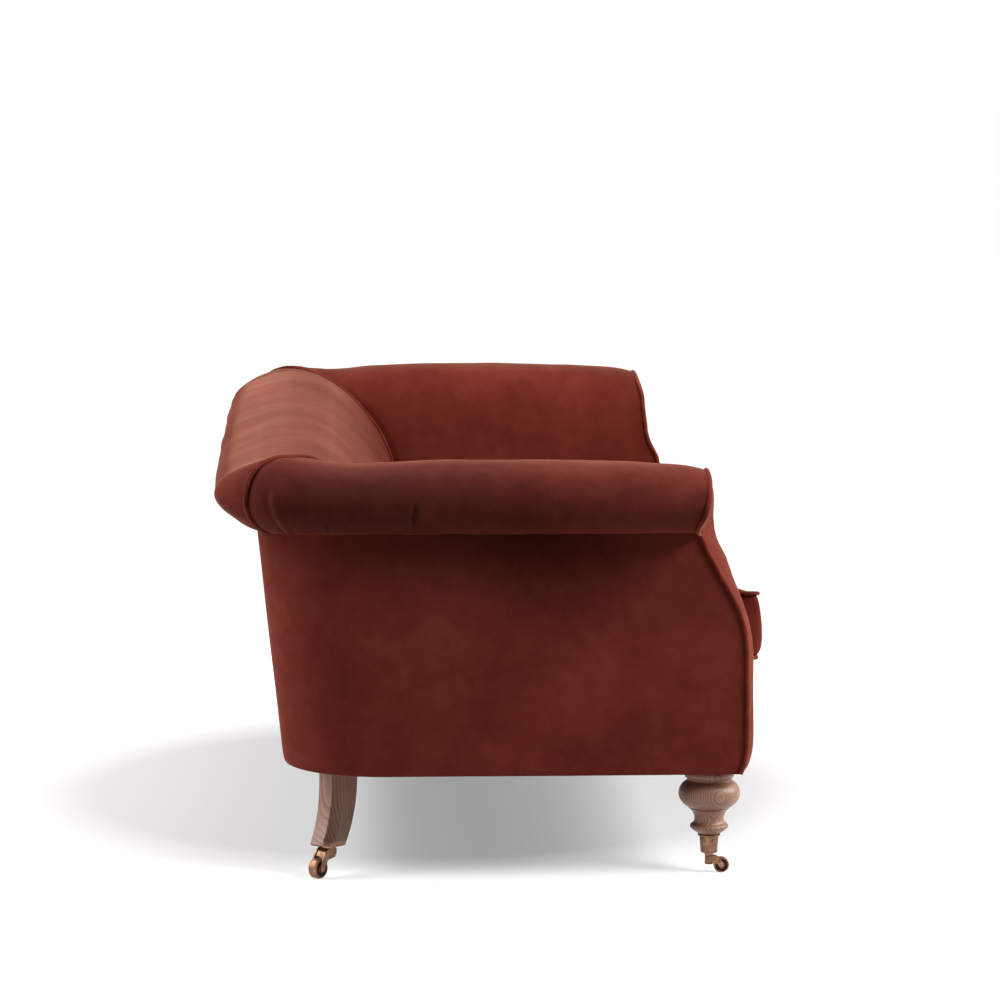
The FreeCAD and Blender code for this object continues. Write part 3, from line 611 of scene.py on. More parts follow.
# the padding isn't alike all round: the near mitre is squarer, the back's roll slacker, the far corner lower
# pairs are the bearing round the roll's centre in degrees and how far the cloth stands out there
padding = {
    "rollIn": 66, "rollUp": 683, "low": 600, "bow": 4.5, "farMitre": 0.3,
    "mitre": [(-90, 1), (-52, -5), (9, -4.5), (32, 1.5), (50, 6), (64, 9), (103, 8.8), (131, 3), (160, 0)],
    "back": [(-90, -3), (-70, -9), (-52, -13), (-32, -9), (-3, 0), (30, -6), (60, -6), (95, -5), (115, -2),
             (131, 0)],
    "sunk": 11, "sunkFrom": 640, "sunkOver": 80, "sunkArm": [(190, 0), (230, 0.25), (290, 1)],
    "sunkBack": [(560, 0), (840, 1)],
}


def settlePadding(place):
    x, y, z = abs(place.x), place.y, place.z
    side = -1 if place.x < 0 else 1
    over, behind = max(0.0, x - axisX), max(0.0, y - axisY)
    reach = math.hypot(over, behind)
    if z < padding["low"] or (reach == 0 and side < 0):
        return place
    moved = place.copy()
    if reach > 0:
        angle = math.atan2(behind, over)
        mitre = math.sin(2 * angle) ** 2 * (padding["farMitre"] if side > 0 else 1.0)
        slack = clamp(angle / eighthTurn - 1) ** 0.7
        bearing = math.atan2(z - padding["rollUp"], padding["rollIn"] - sofa["cornerIn"] + reach)
        degrees = math.degrees(bearing)
        out = mitre * lookUp(padding["mitre"], degrees) + slack * lookUp(padding["back"], degrees)
        if over == 0:
            out += padding["bow"] * (1 - (x / axisX) ** 2) * max(0.0, math.cos(bearing))
        level = out * math.cos(bearing)
        moved += Vector((side * level * over / reach, level * behind / reach, out * math.sin(bearing)))
    if side > 0:
        share = lookUp(padding["sunkArm"], y) * lookUp(padding["sunkBack"], x)
        moved.z -= padding["sunk"] * share * clamp((z - padding["sunkFrom"]) / padding["sunkOver"])
    return moved


def startRoll(line, place):
    # a bmesh with the section drawn at station 0, its layers and edges, and what settles a further row
    bm = bmesh.new()
    spot = bm.verts.layers.float_vector.new("spot")
    paintedLight = bm.verts.layers.float.new("paintedLight")

    def settle(vert, station):
        u, z, _ = vert[spot]
        vert[spot] = (u, z, station)
        vert.co = place(u, z, station) * mm

    verts, row = addLine(bm, line)
    for vert, point in zip(verts, line):
        vert[spot] = point
        settle(vert, 0.0)
    return bm, spot, paintedLight, row, settle


def seamDent(roll, u, share):
    # how deep the mitre seam draws the cloth in at a spot, share being 1 at the corner and 2 at the mitre
    if u > sofa["cornerIn"]:
        distance = (1 - share) * roll["inside"]
    elif share > 1:
        distance = (2 - share) * eighthTurn * max(sofa["cornerIn"] - u, 30)
    else:
        return 0.0
    return roll["seamPull"] * soften(distance, roll["seamReach"])


def settleAll(bm):
    for vert in bm.verts:
        vert.co = settlePadding(vert.co / mm) * mm


arm = {
    "cornerSteps": 26, "wall": 3.0, "inside": 600, "seamPull": 3.2, "seamReach": 13,
    "waves": 1.8, "waveSize": 0.12, "fine": 0.7, "scallop": 1.6, "scallopSize": 45, "calm": 14,
    "frontPull": 0.8, "frontReach": 9, "start": 6,
    "frontEnd": -388, "rowShare": 0.024, "rowSteps": (0, 1.5, 3, 4.5, 7, 10),
    "tucks": [{"y": 138, "low": 650, "high": 672, "depth": 7.0, "width": 3.6},
              {"y": 286, "low": 646, "high": 656, "depth": 4.5, "width": 4.0}],
    # painted shade round the outside of the roll, most at the rear: across gives its share round the roll,
    # along gives the light left where the share is full
    "shadeAcross": [(0, 1), (22, 1), (60, 0.75), (130, 0.2), (190, 0)],
    "shadeAlong": [(-380, 0.62), (-150, 0.55), (60, 0.38), (220, 0.24), (330, 0.32), (430, 0.65)],
    "fold": {"at": 1.5, "foot": 640, "lean": 0.0016, "rise": 3.4, "dip": 3.0, "apart": 3.4, "width": 2.0},
}


def armPlace(u, z, station):
    x = sofa["halfLength"] - u
    if station <= 1:
        end = axisY if u <= sofa["cornerIn"] else sofa["halfDepth"] - lookUp(backInside, z)
        start = frontAt(x, z) + arm["start"]
        y = start + (end - start) * station
        return Vector((x, y, underCrest(z, lookUp(crestTable, y))))
    angle = eighthTurn * (station - 1)
    reach = sofa["cornerIn"] - u
    crest = 745 + 5 * (station - 1)
    return Vector((axisX + reach * math.cos(angle), axisY + reach * math.sin(angle), underCrest(z, crest)))


def armStations():
    # even rows, with closer ones across each tuck
    rows = set(evenSteps(0.0, 1.0, arm["rowShare"])[1:])
    length = axisY - arm["frontEnd"]
    for tuck in arm["tucks"]:
        for step in arm["rowSteps"]:
            rows.update((tuck["y"] - arm["frontEnd"] + side * step) / length for side in (-1, 1))
    return sorted(rows)


def tuckLift(tuck, y, z):
    # a pinch with a low ridge before it, fading out above and below
    inside = min(clamp((z - tuck["low"] + 20) / 14), clamp((tuck["high"] + 12 - z) / 14))
    pinch = soften(y - tuck["y"], tuck["width"])
    ridge = soften(y - tuck["y"] + 9, tuck["width"] * 1.6)
    return tuck["depth"] * inside * (0.6 * ridge - pinch)


def buildArms():
    bm, spot, paintedLight, row, settle = startRoll(armLine, armPlace)
    row = growRows(bm, row, armStations(), settle)
    corner = [1 + s for s in evenSteps(0, 1, 1 / arm["cornerSteps"])[1:]]
    growRows(bm, outer(row, spot), corner, settle)
    faceTowards(bm, (0.925, 0.0, 0.748), (0, 0, 1))
    for vert in bm.verts:
        u, z, station = vert[spot]
        y = vert.co.y / mm
        onRoll = u if z > 640 or u > 100 else 0
        # painted shade on the roll's outer side
        vert[paintedLight] = 1 - (1 - lookUp(arm["shadeAlong"], y)) * lookUp(arm["shadeAcross"], onRoll)
        fromFront = y - frontAt(vert.co.x / mm, z) - arm["start"]
        lift = arm["waves"] * noise.noise(vert.co / arm["waveSize"])
        lift += arm["fine"] * ripple(y / 50, z / 90, 2.0)
        if z < 660 and u < 80:
            # scalloped where it is tacked under
            lift += arm["scallop"] * ripple(y / arm["scallopSize"], 7.0, u / 60)
        lift *= 1 - soften(fromFront, arm["calm"])
        lift -= seamDent(arm, u, station) + arm["frontPull"] * soften(fromFront, arm["frontReach"])
        if u < 70:
            lift += sum(tuckLift(tuck, y, z) for tuck in arm["tucks"])
        if station > 1 and z < 700 and u < 60:
            fold = arm["fold"]
            # degrees round the corner, away from the fold
            along = (station - fold["at"] - (z - fold["foot"]) * fold["lean"]) * 45
            lift += fold["rise"] * soften(along, fold["width"])
            lift -= fold["dip"] * soften(along - fold["apart"], fold["width"])
        vert.co += vert.normal * lift * mm
    mirrorTwin(bm)
    settleAll(bm)
    piece = finishPiece("armUpholstery", bm, paintedShadeVelvet, replaces=("arm_covers", "arm_pads"),
                        levels=1, wall=arm["wall"])


back = {"step": 0.018, "cornerSteps": 15, "wall": 3.0, "inside": 830, "seamPull": 3.2, "seamReach": 13,
        "waves": 2.0, "waveSize": 0.16, "ripple": 0.8, "rippleSize": 120, "fine": 0.35, "fineSize": 30,
        "wander": 45, "scallop": 1.4, "scallopSize": 45,
        "paintedLight": [(0, 0.9), (40, 1), (170, 1), (230, 0.82), (300, 0.64), (345, 0.6)]}


def backPlace(u, z, station):
    sign = -1 if station < 0 else 1
    share = abs(station)
    if share <= 1:
        end = axisX if u <= sofa["cornerIn"] else sofa["halfLength"] - lookUp(armInside, z)
        return Vector((sign * end * share, sofa["halfDepth"] - u, z))
    angle = 2 * eighthTurn - eighthTurn * (share - 1)
    reach = sofa["cornerIn"] - u
    crest = sofa["crest"] + 2 * (share - 1)
    return Vector((sign * (axisX + reach * math.cos(angle)), axisY + reach * math.sin(angle),
                   underCrest(z, crest)))


def buildBack():
    bm, spot, paintedLight, first, settle = startRoll(backLine, backPlace)
    for sign in (1, -1):
        row = growRows(bm, first, [sign * s for s in evenSteps(0, 1, back["step"])[1:]], settle)
        corner = evenSteps(1, 2, 1 / back["cornerSteps"])[1:]
        growRows(bm, outer(row, spot), [sign * s for s in corner], settle)
    faceTowards(bm, (0.1, 0.367, 0.748), (0, 0, 1))
    for vert in bm.verts:
        u, z, station = vert[spot]
        share = abs(station)
        x = vert.co.x / mm
        # painted shade: the back is darkened down its inner slope towards the seat
        vert[paintedLight] = lookUp(back["paintedLight"], u)
        lift = back["waves"] * noise.noise(vert.co / back["waveSize"] + Vector((3, 0, 0)))
        onRoll = 1.0 if u < sofa["cornerIn"] else max(0.2, 1 - (u - sofa["cornerIn"]) / 160)
        around = u / 260 + (z - 640) / 400
        length = x if share <= 1 else x + (share - 1) * 80
        length += back["wander"] * ripple(length / 230, around * 1.6, 1.0)
        lift += back["ripple"] * onRoll * ripple(length / back["rippleSize"], around * 1.5, 5.0)
        lift += back["fine"] * onRoll * ripple(length / back["fineSize"], around * 1.6, 9.0)
        if z < 650 and u < 80:
            lift += back["scallop"] * ripple(x / back["scallopSize"], 7.0, u / 60)
        vert.co += vert.normal * (lift - seamDent(back, u, share)) * mm
    settleAll(bm)
    piece = finishPiece("backUpholstery", bm, paintedShadeVelvet, replaces=("back_cover", "back_pad"),
                        levels=1, wall=back["wall"])


buildArms()
buildBack()
print("arm and back upholstery is built")


# piping over the mitre seams: round the roll and down the valley between arm and back

piping = {"radius": 3.7, "sink": 4.5, "crest": 750, "slant": 0.707, "valley": (730, 356, -9.35)}


def buildMitrePiping():
    path = []
    for point, out in withNormals(smoothLine(rollKnots, 7)[1:]):
        # the cord stands out from the section by what it shows above the seam
        spread = (sofa["cornerIn"] - point.x) * math.cos(eighthTurn)
        place = Vector((axisX + spread, axisY + spread, underCrest(point.y, piping["crest"])))
        away = piping["radius"] - piping["sink"]
        sideways = -out.x * piping["slant"]
        path.append(place + Vector((sideways, sideways, out.y)) * away)
    for z in evenSteps(*piping["valley"]):
        x, y = sofa["halfLength"] - lookUp(armInside, z), sofa["halfDepth"] - lookUp(backInside, z)
        path.append(Vector((x, y, z)))
    line = smoothLine(path, 6)
    bm = bmesh.new()
    for sign in (1, -1):
        addTube(bm, [settlePadding(Vector((sign * p.x, p.y, p.z))) * mm for p in line], piping["radius"])
    finishPiece("mitrePiping", bm, pipingVelvet, replaces=("mitre_piping",))


# arm fronts: a stuffed panel with piping round it

facing = {"grid": 13, "inset": 3.0, "puff": 8.0, "puffReach": 26, "waves": 1.2, "rim": 7.0, "crest": 724,
          "inner": 810, "outer": 1050, "top": 735, "turnX": 825, "turnZ": 364,
          "return": 9.0, "innerReturn": 20.0, "pipeBack": 9.0, "pipeOut": 1.2, "pipe": 3.6}
facingKnots = neckKnots + rollKnots[1:] + armInsideKnots[1:-1] + [(235, 400), (235, 180)]


def frontSheet(bm, inset, grid, foot):
    # a flat sheet inside the arm front's outline, cut into squares; returns its border edges
    verts = []
    for point, out in withNormals(smoothLine(facingKnots, 8)):
        place = point - out * inset
        height = max(foot, underCrest(place.y, facing["crest"]))
        verts.append(bm.verts.new((sofa["halfLength"] - place.x, 0.0, height)))
    bm.faces.new(verts)
    bmesh.ops.remove_doubles(bm, verts=bm.verts, dist=0.5)
    cutEvenly(bm, 0, facing["inner"], facing["outer"], grid)
    cutEvenly(bm, 2, foot, facing["top"], grid)
    return [e for e in bm.edges if len(e.link_faces) == 1]


def buildFacings():
    bm = bmesh.new()
    edges = frontSheet(bm, facing["inset"], facing["grid"], sofa["base"] - 1.5)
    rim = [v.co.copy() for v in {v for e in edges for v in e.verts} if v.co.z > sofa["base"] + 1]
    closest = {vert: min((vert.co - r).length for r in rim) for vert in bm.verts}
    for vert in bm.verts:
        x, z = vert.co.x, vert.co.z
        shape = 1 - math.exp(-(closest[vert] / facing["puffReach"]) ** 1.3)
        puff = shape * (facing["puff"] + facing["waves"] * ripple(x / 60, z / 60, 1.0))
        vert.co.y = frontAt(x, z) + facing["rim"] - puff
    grown = bmesh.ops.extrude_edge_only(bm, edges=edges)["geom"]
    for vert in vertsOf(grown):
        # the inner edge turns back far enough to meet the front border
        turned = vert.co.x < facing["turnX"] and vert.co.z < facing["turnZ"]
        vert.co.y += facing["innerReturn" if turned else "return"]
    toMetres(bm)
    faceTowards(bm, (0.9, -0.47, 0.3), (0, -1, 0))
    mirrorTwin(bm)
    piece = finishPiece("armFronts", bm, velvet, replaces=("arm_facings",), levels=1, sharp=70)


scrollBoard = {"inset": 8, "behind": 12.5, "wall": 21, "grid": 30}


def buildScrollBoards():
    # sawn boards behind the arm fronts, cut to the cloth's own outline
    bm = bmesh.new()
    frontSheet(bm, scrollBoard["inset"], scrollBoard["grid"], sofa["base"] + 0.5)
    for vert in bm.verts:
        vert.co.y = frontAt(vert.co.x, vert.co.z) + scrollBoard["behind"]
    thicken(bm, (0, scrollBoard["wall"], 0))
    toMetres(bm)
    mirrorTwin(bm)
    finishPiece("scrollBoards", bm, beech["Z"], replaces=("scroll_boards",))


def buildFacingPiping():
    bm = bmesh.new()
    for sign in (1, -1):
        path = []
        for point, out in withNormals(smoothLine(facingKnots, 5)):
            place = point + out * facing["pipeOut"]
            x = sofa["halfLength"] - place.x
            z = underCrest(place.y, facing["crest"])
            if z > sofa["base"] - 4:
                y = frontAt(x, z) + facing["pipeBack"]
                path.append(Vector((sign * x, y, max(z, sofa["base"] - 2))) * mm)
        addTube(bm, path, facing["pipe"])
    finishPiece("armFrontPiping", bm, pipingVelvet, replaces=("facing_piping",))


buildMitrePiping()
buildFacings()
buildScrollBoards()
buildFacingPiping()
print("piping and arm fronts are built")


# outside panel: one cloth round both arms and the back, rounded at the rear corners

panel = {"x": 974, "front": -470, "corner": 180, "neck": 76, "rake": 45, "rows": (225, 631, 15), "wall": 3.0,
         "cornerSteps": 14, "step": 22, "swell": 1.6, "fine": 0.5, "seam": 3.0, "seamAt": 8, "seamReach": 9,
         # painted shadow of the roll on the panel: deepest high up and midway along each side, fading to the
         # front and the rear
         "shadeHigh": [(430, 0), (520, 0.3), (580, 0.6), (627, 0.7)],
         "shadeAlong": [(-330, 0), (-200, 0.8), (-50, 1), (100, 0.8), (230, 0)],
         "foot": [(34, 188.2), (16, 187.6), (6.5, 187.6), (2.6, 188.8), (0.9, 193), (0, 204)]}


def panelTurnY(z):
    # where the panel's straight side ends and its rear corner begins; the back rakes inwards to its foot
    share = clamp((z - sofa["base"]) / (sofa["rollBase"] - sofa["base"]))
    return sofa["halfDepth"] - panel["neck"] - panel["rake"] * (1 - share) - panel["corner"]


def buildOutsidePanel():
    bm = bmesh.new()
    layer = bm.verts.layers.float_vector.new("plan")
    paintedLight = bm.verts.layers.float.new("paintedLight")
    top = panelTurnY(sofa["rollBase"])
    front, rear = panel["front"], top + panel["corner"]
    verts, _ = addLine(bm, [(-panel["x"], front, 0), (-panel["x"], rear, 0), (panel["x"], rear, 0),
                            (panel["x"], front, 0)])
    roundOff(bm, verts[1:3], panel["corner"], panel["cornerSteps"], affect="VERTICES")
    for edge in [e for e in bm.edges if e.calc_length() > 300]:
        bmesh.ops.subdivide_edges(bm, edges=[edge], cuts=round(edge.calc_length() / panel["step"]) - 1)
    for vert in bm.verts:
        vert[layer] = vert.co.copy()

    def settle(vert, row):
        drawn, z = row
        plan = vert[layer]
        turnX = panel["x"] - panel["corner"]
        turnY = panelTurnY(z)
        side = 1 if plan.x > 0 else -1
        if plan.y <= top:
            start = frontAt(panel["x"], z) + 5
            y = start + (plan.y - front) * (turnY - start) / (top - front)
            place = Vector((plan.x - side * drawn, y, z))
            outward = Vector((side, 0, 0))
            dent = panel["seam"] * soften(y - start - panel["seamAt"], panel["seamReach"])
            # the share of painted shadow from the roll at this height and place along the side
            lying = lookUp(panel["shadeHigh"], z) * lookUp(panel["shadeAlong"], y)
        else:
            centre = Vector((max(-turnX, min(turnX, plan.x)), top, 0))
            outward = (Vector((plan.x, plan.y, 0)) - centre).normalized()
            place = centre + outward * (panel["corner"] - drawn)
            place.y += turnY - top
            place.z = z
            dent, lying = 0.0, 0.0
        swell = panel["swell"] * ripple(place.x / 240, place.y / 240, z / 190) - dent
        swell += panel["fine"] * ripple(place.x / 60, place.y / 60, z / 120)
        vert[paintedLight] = 1 - lying
        vert.co = (place + outward * swell) * mm

    rows = panel["foot"] + [(0.0, z) for z in evenSteps(*panel["rows"])]
    for vert in bm.verts:
        settle(vert, rows[0])
    growRows(bm, bm.edges[:], rows[1:], settle)
    faceTowards(bm, (0.974, 0, 0.4), (1, 0, 0))
    finishPiece("outsidePanel", bm, paintedShadeVelvet, replaces=("outside_cover",), levels=1,
                wall=panel["wall"])


buildOutsidePanel()
print("outside panel is built")


# front border under the cushions, and the deck they rest on

border = {"reach": 811, "step": 25, "wall": 2.5, "swell": 1.8, "swellSize": 0.11, "pull": 3, "pullReach": 14,
          "knots": [(-421, 190.5), (-446, 191), (-455.5, 198), (-457, 230), (-458, 290), (-456, 335),
                    (-449, 354), (-434, 364), (-412, 367), (-391.5, 367)]}
deck = {"low": (-815.5, -390.5, 348.5), "high": (815.5, 141, 365.8), "step": 30, "edge": 4.0, "edgeReach": 25,
        "waves": 1.0, "waveSize": 0.14}


def buildBorder():
    bm = bmesh.new()
    reach = border["reach"]
    _, row = addLine(bm, [(-reach * mm, p.x * mm, p.y * mm) for p in smoothLine(border["knots"], 9)])

    def settle(vert, x):
        vert.co.x = x * mm

    growRows(bm, row, evenSteps(-reach, reach, border["step"])[1:], settle)
    faceTowards(bm, (0.0, -0.457, 0.28), (0, -1, 0))
    for vert in bm.verts:
        swell = border["swell"] * noise.noise(vert.co / border["swellSize"])
        swell -= border["pull"] * soften(reach - abs(vert.co.x) / mm, border["pullReach"])
        vert.co += vert.normal * swell * mm
    piece = finishPiece("frontBorder", bm, velvet, replaces=("front_border",), levels=1,
                        wall=border["wall"])


def buildDeck():
    bm = bmesh.new()
    low, high = Vector(deck["low"]) * mm, Vector(deck["high"]) * mm
    addBox(bm, low, high)
    for axis in (0, 1):
        cutEvenly(bm, axis, low[axis], high[axis], deck["step"] * mm)
    for vert in bm.verts:
        x, y, z = vert.co
        edge = min(high.x - abs(x), y - low.y, high.y - y) / mm
        if z > high.z - mm:
            sag = deck["edge"] * soften(edge, deck["edgeReach"])
            sag += deck["waves"] * abs(noise.noise(vert.co / deck["waveSize"]))
            vert.co.z -= sag * mm
    piece = finishPiece("seatDeck", bm, deckCloth, replaces=("seat_platform",), levels=1,
                        sharp=80)


buildBorder()
buildDeck()
print("border and deck are built")


# seat cushions: boxed, blown up as cloth, piped along both edges

cushion = {
    "left": 5.5, "right": 807.5, "front": -496, "back": 135.5, "low": 370, "top": 488, "grid": 15,
    "round": 22,
    # how far the front is drawn back at each distance from the arm, and the furthest front at each height
    "draw": [(0, 0), (25, 12), (60, 24), (110, 31), (200, 34), (560, 34), (802, 30)],
    "reach": [(370, -486), (376, -490.5), (384, -493.5), (405, -495.5), (420, -495), (440, -493), (475, -488),
              (490, -485)],
    # the furthest inner side, outer side and back of the boxing (0) and of the seams above and below it
    "bounds": {0: (2.5, 812, 139.0), 1: (6.0, 808.6, 135.2), -1: (6.0, 808.6, 135.2)},
    "seams": {1: -485, -1: -482}, "crown": 9, "quickCrown": 16, "fullCorner": 11,
    "cap": 26, "cornerShare": 0.3, "cornerReach": 70, "frames": 20, "smooth": 0.3, "waves": 0.5, "flat": 25,
    "rest": 366.8, "pipe": 3.7, "pipeOut": 2.4, "pipeLow": 371.2,
    "cloth": {
        "quality": 6, "mass": 0.3, "tension_stiffness": 12, "compression_stiffness": 12, "shear_stiffness": 6,
        "bending_stiffness": 1.2, "use_pressure": True, "uniform_pressure_force": 4.0,
        "vertex_group_mass": "held",
    },
}


def cushionStart():
    bm = bmesh.new()
    ring = bm.verts.layers.float_vector.new("ring")
    low = Vector((cushion["left"], cushion["front"], cushion["low"]))
    high = Vector((cushion["right"], cushion["back"], cushion["top"]))
    addBox(bm, low, high)
    for axis in range(3):
        cutEvenly(bm, axis, low[axis], high[axis], cushion["grid"])
    width, depth, height = high - low
    middle = (low + high) / 2
    touch, radius = 0.01, cushion["round"]
    for vert in bm.verts:
        x, y, z = vert.co
        fromX, fromY = min(x - low.x, high.x - x), min(y - low.y, high.y - y)
        onSide = min(fromX, fromY) < touch
        edge = 1 if onSide and high.z - z < touch else -1 if onSide and z - low.z < touch else 0
        # how far round the outline this vertex is
        if y - low.y < touch:
            around = x - low.x
        elif high.x - x < touch:
            around = width + y - low.y
        elif high.y - y < touch:
            around = width + depth + high.x - x
        else:
            around = 2 * width + depth + high.y - y
        vert[ring] = (edge, around, 1 if max(fromX, fromY) < touch else 0)
        # the upright corners are rounded
        if max(fromX, fromY) < radius:
            spoke = Vector((fromX - radius, fromY - radius))
            if min(fromX, fromY) < touch:
                spoke = spoke.normalized() * radius
            vert.co.x += (1 if x < middle.x else -1) * (spoke.x + radius - fromX)
            vert.co.y += (1 if y < middle.y else -1) * (spoke.y + radius - fromY)
        vert.co.y += lookUp(cushion["draw"], high.x - x) * max(0.0, (high.y - y) / depth * 1.6 - 0.6)
        if onSide and edge == 0:
            # the boxing is fuller at the outer front corner
            belly = 1 - (2 * (z - low.z) / height - 1) ** 4
            vert.co.y -= cushion["fullCorner"] * belly * soften(high.x - x, 40) * soften(y - low.y, 60)
        if z > middle.z:
            crown = (1 - (2 * (x - low.x) / width - 1) ** 4) * (1 - (2 * (y - low.y) / depth - 1) ** 4)
            full = cushion["crown"]
            vert.co.z += full * crown * (z - middle.z) / (height / 2)
    toMetres(bm)
    return bm


def blowUp(bm):
    # a cloth simulation without gravity, then each vertex is held within the cap
    mesh = bpy.data.meshes.new("cushionCloth")
    bm.to_mesh(mesh)
    before = [v.co.copy() for v in mesh.vertices]
    cloth = bpy.data.objects.new("cushionCloth", mesh)
    scene.collection.objects.link(cloth)
    held = cloth.vertex_groups.new(name="held")
    held.add([v.index for v in mesh.vertices if v.co.z < (cushion["low"] + 1) * mm], 1.0, "REPLACE")
    modifier = cloth.modifiers.new("Cloth", "CLOTH")
    for name, value in cushion["cloth"].items():
        setattr(modifier.settings, name, value)
    modifier.settings.effector_weights.gravity = 0.0
    modifier.point_cache.frame_end = cushion["frames"]
    for step in range(1, cushion["frames"] + 1):
        scene.frame_set(step)
    graph = bpy.context.evaluated_depsgraph_get()
    after = [v.co.copy() for v in cloth.evaluated_get(graph).data.vertices]
    bpy.data.objects.remove(cloth)
    bpy.data.meshes.remove(mesh)
    scene.frame_set(1)
    limit = cushion["cap"] * mm
    moves = []
    for vert, old, new in zip(bm.verts, before, after):
        move = new - old
        if move.length > limit:
            move = move.normalized() * limit
        # the upright corners keep their places
        fromCorner = math.hypot(min(old.x / mm - cushion["left"], cushion["right"] - old.x / mm),
                                min(old.y / mm - cushion["front"], cushion["back"] - old.y / mm))
        share = min(1.0, fromCorner / cushion["cornerReach"])
        share = cushion["cornerShare"] + (1 - cushion["cornerShare"]) * share
        move = Vector((move.x * share, move.y * share, move.z))
        moves.append(move.length)
        vert.co = old + move
    print("cushion cloth moved up to", round(max(moves) / mm, 1), "mm")


def holdCushion(bm, ring):
    # keeps the blown-up form clear of the arms, the back and the deck, with its top flat near the front
    for vert in bm.verts:
        edge = vert[ring][0]
        inner, outside, rear = cushion["bounds"][edge]
        x, y, z = vert.co / mm
        x = min(max(x, inner), outside)
        y = max(min(y, rear), lookUp(cushion["reach"], z) if edge == 0 else cushion["seams"][edge])
        over = z - cushion["top"]
        if over > 0:
            behind = max(0.0, y - cushion["front"] - cushion["flat"])
            z = cushion["top"] + over * min(1.0, 0.1 + (behind / 190) ** 0.8)
        vert.co = Vector((x, y, z)) * mm
        vert.co += Vector((1, 1, 1)) * cushion["waves"] * mm * noise.noise(vert.co / 0.06)
        vert.co.z = max(vert.co.z, cushion["rest"] * mm)


def buildCushions():
    bm = cushionStart()
    blowUp(bm)
    bmesh.ops.smooth_vert(bm, verts=bm.verts, factor=cushion["smooth"], use_axis_x=True, use_axis_y=True,
                          use_axis_z=True)
    ring = bm.verts.layers.float_vector["ring"]
    holdCushion(bm, ring)
    bm.normal_update()
    paths = []
    for edge in (1, -1):
        seam = [v for v in bm.verts if v[ring][0] == edge and v[ring][2] == 0]
        seam.sort(key=lambda v: v[ring][1])
        knots = [v.co + v.normal * cushion["pipeOut"] * mm for v in seam]
        paths.append(smoothLine(knots, 7 * mm, closed=True))
    for side, sign in (("right", 1), ("left", -1)):
        body = side + "_cushion"
        shell = bm.copy()
        if sign < 0:
            bmesh.ops.scale(shell, vec=(-1, 1, 1), verts=shell.verts)
            bmesh.ops.reverse_faces(shell, faces=shell.faces)
        piece = finishPiece(side + "Cushion", shell, velvet, body=body,
                            replaces=("seat_cushion_" + side,), levels=1, sharp=180)
        cord = bmesh.new()
        for path in paths:
            line = [Vector((sign * p.x, p.y, max(p.z, cushion["pipeLow"] * mm))) for p in path]
            addTube(cord, line, cushion["pipe"], closed=True)
        finishPiece(side + "CushionPiping", cord, pipingVelvet, body=body)
    bm.free()


buildCushions()
print("cushions are built")


# under-cloth, cut round the legs and tacked below the rails; holes are places, radii and numbers of sides

underCloth = {"front": -421, "inset": 24, "z": 187.2, "sag": 2.2, "calm": 120, "waveSize": 160, "grid": 60,
              "wall": 0.6, "cornerSteps": 14, "holes": [((908, -390), 47, 28), ((891.2, 271.1), 39.592, 4)]}


def buildUnderCloth():
    bm = bmesh.new()
    front, z = underCloth["front"], underCloth["z"]
    reach = panel["x"] - underCloth["inset"]
    depth = panelTurnY(sofa["base"]) + panel["corner"] - underCloth["inset"]
    corners = [(-reach, front, z), (reach, front, z), (reach, depth, z), (-reach, depth, z)]
    verts, _ = addLine(bm, corners, closed=True)
    radius = panel["corner"] - underCloth["inset"]
    roundOff(bm, verts[2:], radius, underCloth["cornerSteps"], affect="VERTICES")
    for sign in (1, -1):
        for (x, y), radius, sides in underCloth["holes"]:
            place = Matrix.Translation((sign * x, y, z))
            bmesh.ops.create_circle(bm, segments=sides, radius=radius, cap_ends=False, matrix=place)
    bmesh.ops.triangle_fill(bm, edges=bm.edges[:], use_beauty=True)
    cutEvenly(bm, 0, -reach, reach, underCloth["grid"])
    cutEvenly(bm, 1, front, depth, underCloth["grid"])
    for vert in bm.verts:
        x, y = vert.co.x, vert.co.y
        calm = clamp(min(reach - abs(x), y - front, depth - y) / underCloth["calm"])
        wave = 0.5 * ripple(x / underCloth["waveSize"], y / underCloth["waveSize"], 0)
        vert.co.z -= underCloth["sag"] * calm * (1 + wave)
    toMetres(bm)
    faceOut(bm)
    if sum(f.normal.z for f in bm.faces) > 0:
        bmesh.ops.reverse_faces(bm, faces=bm.faces)
    area = sum(f.calc_area() for f in bm.faces)
    piece = finishPiece("underCloth", bm, blackCloth, replaces=("dust_cover",),
                        wall=underCloth["wall"])
    print("under-cloth area", round(area, 3), "m2")


buildUnderCloth()


# front legs: turned oak; radius and height of each point of the profile


frontLeg = {"place": (908, -390), "steps": 72, "parts": [
    [(0.01, 38.6), (13, 38.6)],
    [(13, 38.6), (15.2, 70.6)],
    [(15.2, 70.6), (19.2, 71.4)],
    [(19.2, 71.4), (24, 74.6), (30.5, 79.2)],
    [(30.5, 79.2), (33.4, 82), (34.2, 85), (33, 88), (30, 90.2)],
    [(30, 90.2), (27.6, 93), (26.4, 97.5), (27, 103), (29.6, 110), (34, 115.6), (36.6, 117.4)],
    [(36.6, 117.4), (35.6, 118.6), (37.8, 119.6)],
    [(37.8, 119.6), (42.5, 122.6), (50, 130), (54.4, 139), (55, 147), (52.2, 156), (46.8, 163),
     (40.6, 167.6)],
    [(40.6, 167.6), (39.2, 169.6), (40, 171.8)],
    [(40, 171.8), (43.2, 174), (44.6, 178), (44, 183), (42, 187)],
    [(42, 187), (41.4, 189.6)],
    [(41.4, 189.6), (0.01, 189.6)],
]}
rearLeg = {"place": (891.2, 271.1), "top": 190, "foot": 58, "topSide": 50, "footSide": 46, "sweep": 27,
           "cut": 0.3, "rows": 12, "arris": 2.2, "curve": [(0.0, 0.0), (0.35, 0.08), (0.7, 0.42), (1.0, 1.0)]}
# points of a turned form that are closer than this are one
weld = 0.02 * mm


